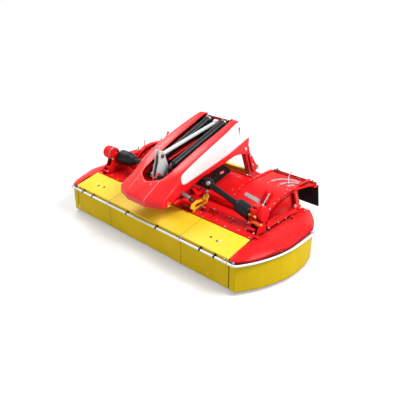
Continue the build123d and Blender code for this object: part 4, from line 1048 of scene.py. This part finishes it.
def make_trim():
    seams = Kit()
    for _, s in SIDES:
        seam = s * LID_SPLIT
        seams[YELLOW].block((seam - 26, 16, 52), (seam + 26, 18, 460))
        under = [(d, lid_height(d) - down) for d, down in ((14, 12), (380, 12), (380, 15), (14, 15))]
        seams[YELLOW].plate(seam - 18, 36, under)
    seams.pieces("seam_strips", bevel=0)
    for side, s in SIDES:
        edge, latch = Kit(), Kit()
        edge[RUBBER].block((s * 1480, 18, 52), (s * (GUARD_INNER + 6), 20, 440))
        for x, d in GUARD_RIM_BOLTS:
            edge[PLASTIC].bolt((s * x, d, 440), Vector((s * 0.8, -0.6, 0)) if d < 400 else s * ACROSS, 8)
        edge[STEEL].bolts(AHEAD, 9, (s * 1522, 2, 450), (s * 1522 + s * 26, 2, 450))
        edge[PLASTIC].block((s * 1512, 8, 452), (s * 1572, 24, 462))
        edge.pieces(f"guard_trim_{side}", f"guard_{side}")
        for x, d in LATCH_PINS:
            foot = spot(s * x, d, lid_height(d) + 0.5)
            latch[BROWN].turned(foot, foot + Vector((0, -0.2, 1)), [(0, 14), (4, 14), (7, 10)], 20)
            latch[BROWN].block(foot + mm(-4, -12, 4), foot + mm(4, 12, 12))
        latch[WHITE].slab([(s * x, d, lid_height(d) + 1) for x, d in LATCH_TAIL], mm(0, 0, 3))
        latch.pieces(f"lid_latches_{side}", f"flap_{side}")


# ---- deck
DECK_Z = 557.0
DECK_BOLTS = (  # (x, station)
    (495, 524), (588, 500), (686, 424), (871, 488), (1061, 430), (1451, 422), (934, 663), (997, 664),
    (297, 424), (1250, 470), (1210, 690), (420, 690),
)
DECK_SLOTS = (((636, 466), (628, 574)), ((769, 468), (766, 580)))  # ends as (x, station)
DECK_HOLES = ((804, 677), (1056, 552), (1066, 594))
# cheeks of the lifting eye, and of the clevis beside the lock bracket, as (station, height) outlines
EYE = (
    (560, 556), (566, 606), (578, 618), (640, 618), (652, 600), (652, 556), (630, 556), (626, 596),
    (584, 596), (580, 556),
)
CLEVIS = ((540, 556), (546, 604), (572, 616), (596, 604), (602, 556))


def make_deck_parts():
    kit = Kit()
    for _, s in SIDES:
        kit[ZINC].bolts(UP, 6.5, *((s * x, d, DECK_Z) for x, d in DECK_BOLTS))
        for (ax, ad), (bx, bd) in DECK_SLOTS:
            corners = ((ax - 5, ad), (ax + 5, ad), (bx + 5, bd), (bx - 5, bd))
            kit[RUBBER].slab([(s * x, d, DECK_Z - 0.5) for x, d in corners], mm(0, 0, 2))
        for x, d in DECK_HOLES:
            kit[RUBBER].turned((s * x, d, DECK_Z - 1), (s * x, d, DECK_Z + 9), [(0, 14), (2.2, 14)], 16)
        for label, cheeks, outline, (start, end), d, z, radius in (
            (STEEL, (668, 748), EYE, (658, 766), 612, 612, 7.5),
            (ZINC, (548, 590), CLEVIS, (540, 606), 572, 600, 11),
        ):
            for x in cheeks:
                kit[RED].plate(s * x, 7, outline)
            kit[label].rod((s * start, d, z), (s * end, d, z), radius, 16, 1)
        # painted shade: a thin near-black line across the deck
        kit[SHADE].block((s * 1100, 700, DECK_Z), (s * 300, 703, DECK_Z + 1))
    kit.pieces("deck", bevel=0.6)


# ---- hood
HOOD_ARC = ((948, 562), (1118, 676), (1500, 757))  # (station, height) points of the hood's profile
HOOD_CENTRE, HOOD_R = circle_through(*HOOD_ARC)
RIB_RISE = 12.0
# stations of the bolts along the ribs at two places across; bolts of the hood's sheet as (x, station)
RIB_BOLTS = (
    (1290, (1053, 1140, 1228, 1370, 1480, 1600, 1720, 1840)),
    (684, (1000, 1068, 1172, 1236, 1384, 1484, 1563, 1700, 1840)),
)
HOOD_BOLTS = ((907, 1507), (1071, 1510), (760, 1510), (1220, 1510), (592, 1123), (470, 1399), (240, 1242))
HOOD_INNER = 660  # the sheet nearer to the middle lies lower
SLOT_ARCS = (
    ((906, 1566), (985, 1745), (1222, 1805)), ((1063, 1561), (1110, 1700), (1232, 1774)),
    ((1170, 1585), (1186, 1640), (1226, 1680)),
)
SLOT_HALF = 21.0
BLANK_PLATE, PLATE_STATION = ((800, 1162), (1095, 1122), (1110, 1070), (814, 1108)), 1115
HOOD_STRAPS = (((1112, 1085), (1045, 1290)), ((1196, 1085), (1150, 1290)))  # feet as (x, station)
WALL_EDGE = 1323, 22  # x of a side wall's upper edge, and how far it lies below the hood
SWATH_LEVER = (
    (1138, 1668, 755), (1122, 1684, 790), (1107, 1700, 824), (1106, 1712, 852), (1112, 1720, 875),
    (1124, 1730, 900), (1141, 1740, 920),
)
REAR_PINS = ((760, 800), (795, 786), (1130, 772), (1352, 790))  # (x, top)
REAR_BAR, BAR_HALF = (1925, 722), 12.5  # (station, top) of the bar they stand on, half its depth
REAR_STRAP = ((1262, 1690, 762), (1300, 1690, 768), (1345, 1870, 800), (1330, 1900, 800), (1300, 1900, 796))
# (x, station) corners of painted shade on the hood in front of the rear bar
REAR_SHADE = ((712, 1876), (1296, 1876), (1296, 1906), (712, 1906))
CORNER_POST = ((1500, 742), (1560, 745), (1640, 560), (1640, 470), (1600, 470))
ARM_PANEL = (
    (1010, 660), (1010, 880), (1150, 960), (1262, 960), (1290, 905), (1406, 812), (1420, 765), (1330, 752),
    (1160, 700),
)


def hood_height(d):
    if d >= HOOD_ARC[2][0]:
        return float(HOOD_ARC[2][1])
    return HOOD_CENTRE.imag + math.sqrt(max(HOOD_R**2 - (d - HOOD_CENTRE.real) ** 2, 0.0))


def hood_way(d):
    """The way out of the hood at a station."""
    return Vector((0, hood_height(d - 2) - hood_height(d + 2), 4)).normalized()


def on_hood(x, d, lift=0.0):
    return spot(x, d, hood_height(d)) + hood_way(d) * (lift / 1000)


def slot_edges(s, path):
    """Two long edges of a curved slot in the hood, rounded at its ends."""
    edges = [], []
    middle = (len(path) - 1) / 2
    for i, (x, d) in enumerate(path):
        (ax, ad), (bx, bd) = path[max(i - 1, 0)], path[min(i + 1, len(path) - 1)]
        half = SLOT_HALF * math.sqrt(max(1 - (abs(i - middle) / (1.05 * middle)) ** 8, 0.05))
        half /= math.dist((ax, ad), (bx, bd))
        for edge, way in zip(edges, (half, -half)):
            edge.append(on_hood(s * (x + way * (bd - ad)), d - way * (bx - ax), 1.5))
    return edges


def make_hood_parts():
    kit, slots, bar, panel = Kit(), Shape(), Shape(), Kit()
    for _, s in SIDES:
        for x, stations in RIB_BOLTS:
            for d in stations:
                kit[ZINC].bolt(on_hood(s * x, d, RIB_RISE), hood_way(d), 5.2)
        for x, d in HOOD_BOLTS:
            kit[ZINC].bolt(on_hood(s * x, d, 0 if x > HOOD_INNER else -4), hood_way(d), 6)
        for arc_points in SLOT_ARCS:
            slots.grid(slot_edges(s, true_arc(*arc_points, 24)), turn=s < 0)
        kit[PLATE].slab([on_hood(s * x, d, 2.0) for x, d in BLANK_PLATE], hood_way(PLATE_STATION) * 0.0015)
        # two upstanding straps with a tie rod beside the plate
        for feet in HOOD_STRAPS:
            foot = [on_hood(s * x, d, -2) for x, d in feet]
            kit[RED].slab(foot + [p + mm(0, -20, 44) for p in reversed(foot)], mm(s * 8, 0, 0))
        kit[STEEL].rod(on_hood(s * 1166, 1084, 16), on_hood(s * 1128, 1252, 16), 10, 16, 1)
        kit[ZINC].bolt(on_hood(s * 1168, 1070, 8), hood_way(1070), 13)
        # swath board lever, pins and caps on the rear bar
        kit[GREY].tube([(s * x, d, z) for x, d, z in SWATH_LEVER], 7.5, 12)
        d, z = REAR_BAR
        for x, top in REAR_PINS:
            kit[PLASTIC].rod((s * x, d, z), (s * x, d, top), 13, 14, 2)
            kit[ZINC].turned((s * x, d, top - 14), (s * x, d, 1000), [(0, 20), (7, 20)], 20)
        # strap from the outer rib to the rear bar, the bar's top, and painted shade on the hood just before
        # the bar
        kit[RED].slab([(s * x, d, z) for x, d, z in REAR_STRAP], mm(0, 0, 12))
        kit[RUBBER].block((s * 700, d - BAR_HALF, z), (s * 1400, d + BAR_HALF, z + 2))
        kit[SHADE].slab([on_hood(s * x, d, 1.5) for x, d in REAR_SHADE], mm(0, 0, 1.5))
        # corner post between the hood, the side wall and the guard's rear hinge
        kit[RED].plate(s * 1322, s * 30, CORNER_POST)
        kit[DULL].bolts(s * ACROSS, 11, (s * 1352, 1535, 692), (s * 1352, 1565, 640), (s * 1352, 1612, 540))
        # edge of the side wall under the outer rib: a near-black tube of painted shade
        x, below = WALL_EDGE
        kit[SHADE].tube([(s * x, d, hood_height(d) - below) for d in steps(24, 965, 1560)], 6, 10)
    kit.pieces("hood", bevel=0.6)
    slots.piece("hood_slots", PLATE, thick=1, outward=False)
    # dark panel and its tag between the carrying arms and the hood
    panel[RUBBER].plate(300, 4, ARM_PANEL)
    # the tag is in the pale red of the painted highlights
    panel[HIGHLIGHT].block((304, 1190, 800), (307, 1270, 836))
    panel.pieces("arm_panel")
    bar.block((-332, 1737, 632), (332, 1793, 716))
    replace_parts(bar.piece("cross_bar", YELLOW, bevel=3), "cross_tube")


def make_guard_tubes():
    """Stay tube, damper and rear bracket between a side wall and its guard's hinge."""
    for side, s in SIDES:
        kit = Kit()
        kit[RED].rod((s * 1466, 735, 574), (s * 1468, 1360, 578), 24, 28, 3)
        kit[RED].rod((s * 1432, 790, 572), (s * 1404, 1060, 582), 14, 20, 2)
        kit[STEEL].bolts(Vector((s * 0.6, -0.5, 0.6)), 7, *((s * 1490, d, 564) for d in (760, 965, 1120)))
        kit[RED].plate(s * 1440, s * 10, ((1350, 556), (1350, 640), (1400, 655), (1520, 600), (1530, 556)))
        kit[ZINC].bolt((s * 1450, 1385, 625), s * ACROSS, 15)
        kit[GOLD].bolts(UP, 12, (s * 1414, 1534, 566), (s * 1458, 1500, 566))
        kit.pieces(f"guard_tubes_{side}")


# ---- foot of the bell crank
CRANK_LINKS = ((-60, 361, 987), (0, 308, 1010), (60, 270, 980))
CRANK_HOOK = (
    (85, 125, 972), (85, 150, 990), (80, 180, 1013), (78, 208, 1030), (76, 236, 1036), (74, 262, 1026),
    (72, 282, 1000),
)


def make_crank_base():
    kit = Kit()
    for x, s in ((-120, -1), (120, 1)):
        kit[BROWN].turned((s * 42, 350, 1239), (s * 100, 350, 1239), [(0, 26), (13, 26), (14.5, 22)], 28)
        kit[RED].tube([(x, 369, 1017), (x, 330, 976), (x, 290, 936)], 10)
    for x, d, z in CRANK_LINKS:
        kit[ZINC].rod((x - 26, d, z), (x + 26, d, z), 24, 24, 3)
        kit[PLASTIC].rod((x - 34, d, z), (x + 34, d, z), 13, 18, 2)
    kit[PLASTIC].rod((-180, 300, 945), (180, 300, 945), 36, 28, 4)
    kit[PLASTIC].turned(
        (72, 252, 978), (92, 235, 988), [(-24, 20), (-10, 38), (6, 43), (22, 38), (32, 20)], 28)
    kit[DULL].turned((66, 246, 984), (86, 229, 994), [(0, 30), (18, 34), (26, 26)], 24)
    kit[DULL].rod((-96, 292, 960), (-52, 292, 960), 43, 28, 4)
    kit[RED].tube(CRANK_HOOK, 9, 12)
    # seat of the right spring's foot, in the pale red of the painted highlights
    kit[HIGHLIGHT].plate(118, 10, ((392, 1066), (412, 1128), (455, 1150), (480, 1124), (455, 1072)))
    kit[PLASTIC].rod((90, 405, 1060), (190, 405, 1060), 22, 20, 3)
    kit[RED].rod((-12, 520, 1127), (52, 960, 1291), 10, 12)
    kit.pieces("crank_foot")


# ---- lock bracket and its neighbours
RAM_START, RAM_END = spot(400, 328, 842), spot(600, 318, 816)
RAM_AXIS = (RAM_END - spot(432, 326, 838)).normalized()
PULL_TUBE = ((187, 737), (330, 742), (478, 602))  # (station, height) points of its arc
BRACKET_ARM = (
    (455, 872), (490, 880), (560, 800), (640, 812), (668, 800), (655, 770), (560, 752), (520, 770),
)
PIPE = ((380, 330, 650), (396, 380, 622), (404, 413, 608), (420, 448, 590), (450, 470, 578), (480, 476, 572))
JOINT, JOINT_WAY = spot(525, 711, 881), Vector((0.55, -0.7, 0.45)).normalized()


def make_lock_parts():
    kit, ram, cap = Kit(), Shape(), Shape()
    ram.rod(RAM_START, RAM_END, 25, 28, 2)
    ram.turned(RAM_END, RAM_END + RAM_AXIS, [(8, 18), (14, 16)], 20)
    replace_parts(ram.piece("stop_ram", DULL), "stop_pin")
    kit[PLASTIC].turned(RAM_END, RAM_END + RAM_AXIS, [(-10, 31), (6, 31), (10, 26), (10, 20)], 28)
    # curved pull tube under the nose and the two arms to the bracket
    kit[RED].tube([(415, d, z) for d, z in true_arc(*PULL_TUBE, 18)], 24, 20)
    for x in (452, 484):
        kit[RED].plate(x, 10, BRACKET_ARM)
    kit[RED].rod((440, 641, 800), (512, 641, 800), 24, 24, 2)
    kit[RED].block((492, 640, 742), (520, 706, 792))
    kit[ZINC].bolt((520, 690, 776), ACROSS, 17)
    kit[RUBBER].block((513, 604, 668), (516, 622, 690))
    kit[ZINC].bolt((514, 700, 716), ACROSS, 13)
    for d, z in ((455, 570), (470, 600)):
        kit[RED].rod((440, d, z), (498, d, z), 14, 18, 2)
    kit[PAINT].tube(PIPE, 9, 12)
    kit.pieces("lock_parts")
    start = JOINT + JOINT_WAY * 0.072
    cap.turned(start, start + JOINT_WAY, [(-12, 30), (0, 30), (8, 24), (12, 12)], 28)
    cap.piece("joint_cap", DULL)


# ---- outer gearboxes
GUIDE = ((1330, 640), (1350, 662), (1380, 670), (1412, 668), (1446, 660), (1470, 650))  # (x, height)
UPPER_STRAP = ((1304, 752), (1386, 748), (1398, 724), (1376, 730), (1310, 736))
ARCH_KNOBS = ((1110, 757, 72), (1240, 802, 88), (1600, 810, 60))  # columns: station, foot, height of the knob
WING = ((4, 876), (22, 896), (14, 900), (2, 888))  # (x from the knob, height)


def make_right_gearbox():
    kit = Kit()
    for x, z in ((1300, 748), (1388, 742), (1484, 664)):
        kit[GOLD].bolt((x, 601, z), AHEAD, 13, 12)
    kit[ZINC].bolt((1303, 601, 632), AHEAD, 10)
    kit[ZINC].bolts(UP, 11, (1308, 548, 566), (1436, 532, 566))
    # bore of the front flange with its shade painted as a near-black ring, the guide across it, and the strap
    # between its upper bolts
    kit[SHADE].turned((1344, 604, 686), (1344, 500, 686), [(0, 43.5), (3.5, 43.5)], 36)
    kit[RED].turned((1344, 602, 686), (1344, 500, 686), [(0, 28), (6, 26)], 28)
    kit[ORANGE].tube([(x, 592, z) for x, z in GUIDE], 21, 16)
    kit[ORANGE].slab([(x, 598, z) for x, z in UPPER_STRAP], mm(0, 5, 0))
    # slot in the head's sloping front, painted as near-black shade
    slot = ((1322, 626, 834), (1388, 626, 834), (1388, 644, 848), (1322, 644, 848))
    kit[SHADE].slab(slot, mm(0, -2, 3))
    # feet, the block between them, a near-black block of painted shade beside it, and the guard's gusset
    kit[RED].rod((1322, 548, 592), (1440, 548, 592), 22, 20, 3)
    kit[RED].block((1300, 562, 558), (1340, 600, 610))
    kit[SHADE].block((1366, 560, 558), (1380, 604, 640))
    kit[ZINC].turned((1270, 640, 700), (1300, 640, 700), [(0, 16), (20, 16)], 20)
    kit.pieces("right_drive")


def make_left_gearbox():
    kit = Kit()
    kit[DULL].turned((-1342, 605, 846), (-342, 605, 846), [(0, 98.5), (1, 100.5), (9, 100.5), (10, 98.5)], 40)
    for d, z in ((569, 766), (628, 661), (700, 690)):
        kit[GOLD].bolt((-1436, d, z), -ACROSS, 12)
        kit[ZINC].bolt((-1328, d, z), ACROSS, 10)
    for d, z in ((455, 590), (505, 640)):
        kit[RED].rod((-1432, d, z), (-1322, d, z), 20, 18, 3)
    kit[ZINC].bolt((-1330, 452, 600), ACROSS, 12)
    # knobs and a wing nut on the belt cover's arch
    for d, z, high in ARCH_KNOBS:
        foot = spot(-1360, d, z - 4)
        kit[ZINC].rod(foot, foot + mm(0, 0, high), 9, 14, 1)
        kit[STEEL].turned(foot, foot + UP, [(0, 20), (10, 20), (14, 14)], 6)
    for turn in (-1, 1):
        kit[STEEL].slab([(-1360 + turn * x, 1240, z) for x, z in WING], mm(0, 5, 0))
    kit[RED].rod((-1420, 1750, 800), (-1420, 1810, 868), 12, 14, 2)
    kit[RED].turned(
        (-1420, 1800, 858), (-1420, 1830, 890), [(0, 10), (10, 20), (26, 22), (38, 14)], 20)
    kit.pieces("left_drive")


# ---- headstock and rear of the covers
# columns: finish, places of the ends of a cap's axis, profile, sides
CAPS = (
    (ZINC, (422, 1590, 1103), (480, 1590, 1103), ((0, 24), (10, 24), (12, 14), (18, 14)), 24),
    (RED, (240, 1492, 1478), (240, 1492, 1530), ((0, 14), (24, 14), (30, 22), (44, 20)), 20),
    (RED, (335, 1492, 1474), (335, 1492, 1520), ((0, 14), (20, 14), (26, 22), (38, 20)), 20),
)
TOOTH = ((0, 1006), (14, 1002), (4, 982))
LATCH_TEETH = [(1740 + 17 * k + d, z - 40 * k) for k in range(6) for d, z in TOOTH]
LATCH_COMB = ((1716, 1020), (1730, 1026), *LATCH_TEETH, (1826, 770), (1812, 760))
LATCH_SLAB = ((1672, 975), (1716, 1000), (1790, 885), (1868, 775), (1876, 716), (1800, 690), (1764, 740))
STRIKER = ((1856, 806), (1878, 800), (1902, 724), (1886, 706))
SPRING_CLAMPS = (-150, 135)  # places across


def make_headstock_parts():
    kit = Kit()
    for _, s in SIDES:
        for label, (ax, ad, az), (bx, bd, bz), profile, sides in CAPS:
            kit[label].turned((s * ax, ad, az), (s * bx, bd, bz), profile, sides)
        # latch on the leg: a toothed strip in the pale red of the painted highlights, its hook and a striker
        kit[HIGHLIGHT].plate(s * 360, s * 8, LATCH_COMB)
        kit[RED].plate(s * 424, s * 10, LATCH_SLAB)
        kit[STEEL].plate(s * 436, s * 8, STRIKER)
        kit[ZINC].bolts(s * ACROSS, 12, (s * 434, 1700, 980), (s * 434, 1770, 810))
    for x in SPRING_CLAMPS:
        kit[PLASTIC].block((x - 40, 1460, 1468), (x + 40, 1504, 1498))
        kit[DULL].rod((x - 52, 1480, 1490), (x + 52, 1480, 1490), 14, 16, 1)
    kit.pieces("headstock_parts")


# ---- cutter bar, rotor and tractor side
DISC_PITCH, DISC_STATION, DISC_TOP = 430.0, 550.0, 118.0
OPEN_DISCS = (2, 3, 4, 5, 6)  # the outer two carry crop drums
BLOCK_BOLT_Z, SHOE_BOLTS = 62, (708, 11.5)  # height of the bar's bolts; (station, height) of the shoes'
ROTOR, WALL_OUT = (1220.0, 400.0), 1351  # (station, height) of its axis; x of a side wall's outer face
STUB_STATION, STUB_HEIGHT, STUB_CIRCLE = 840, 805, 85


def round_points(count, first, radius):
    """(sideways, up) offsets of bolts on a circle, the first at an angle in degrees."""
    turns = [math.radians(first + 360 / count * k) for k in range(count)]
    return [(radius * math.cos(turn), radius * math.sin(turn)) for turn in turns]


def body_of(node):
    bodies = frame["record"]["behaviour"]["bodies"]
    return next(name for name, nodes in bodies.items() if node in nodes)


def make_working_parts():
    for number in OPEN_DISCS:
        x = (number - 4) * DISC_PITCH
        kit = Kit()
        kit[STEEL].turned(
            (x, DISC_STATION, DISC_TOP - 2), (x, DISC_STATION, 1000), [(0, 44), (6, 44), (14, 30)], 36)
        feet = ((x + px, DISC_STATION + pd, DISC_TOP - 1) for px, pd in round_points(6, 0, 51))
        kit[ZINC].bolts(UP, 6, *feet)
        kit.pieces(f"disc_hub_{number}", body_of(f"disc_{number}"))
    kit = Kit()
    bolt = kit[ZINC].bolt
    for x in [(k - 2.5) * DISC_PITCH for k in range(6)]:
        for d in (500, 620):
            bolt((x, d, BLOCK_BOLT_Z), UP, 10)
    for x in [(k - 3) * DISC_PITCH for k in range(7)]:
        for side in (-110, 110):
            bolt((x + side, *SHOE_BOLTS), Vector((0, 0.86, -0.5)), 8)
    for _, s in SIDES:
        d, z = ROTOR
        kit[RED].turned((s * WALL_OUT, d, z), (s * (WALL_OUT + 1000), d, z), [(-4, 52), (10, 52), (16, 44)])
        for pd, pz in round_points(4, 45, 60):
            bolt((s * WALL_OUT, d + pd, z + pz), s * ACROSS, 8)
        for x in (s * 60, s * 96):
            for z in (600, 640):
                bolt((x, 800, z), BACK, 8)
    for px, pz in round_points(8, 0, STUB_CIRCLE):
        bolt((px, STUB_STATION, STUB_HEIGHT + pz), BACK, 8)
    kit.pieces("bar_parts")


# ---- everything
make_camera()
dress_cad()
make_cover_trim(make_cover())
make_cover_shade()
make_side_panels()
for side, s in SIDES:
    make_guard(side, s, guard_outline())
for lid in LIDS:
    front_skirt(*lid)
for side, s in SIDES:
    side_skirt(side, s)
    rear_curtain(side, s)
make_bells()
make_springs()
make_rails()
make_lids()
make_trim()
make_deck_parts()
make_hood_parts()
make_guard_tubes()
make_crank_base()
make_lock_parts()
make_right_gearbox()
make_left_gearbox()
make_headstock_parts()
make_working_parts()
make_stage()
make_lamps()

bpy.context.scene.view_settings.view_transform = "Standard"
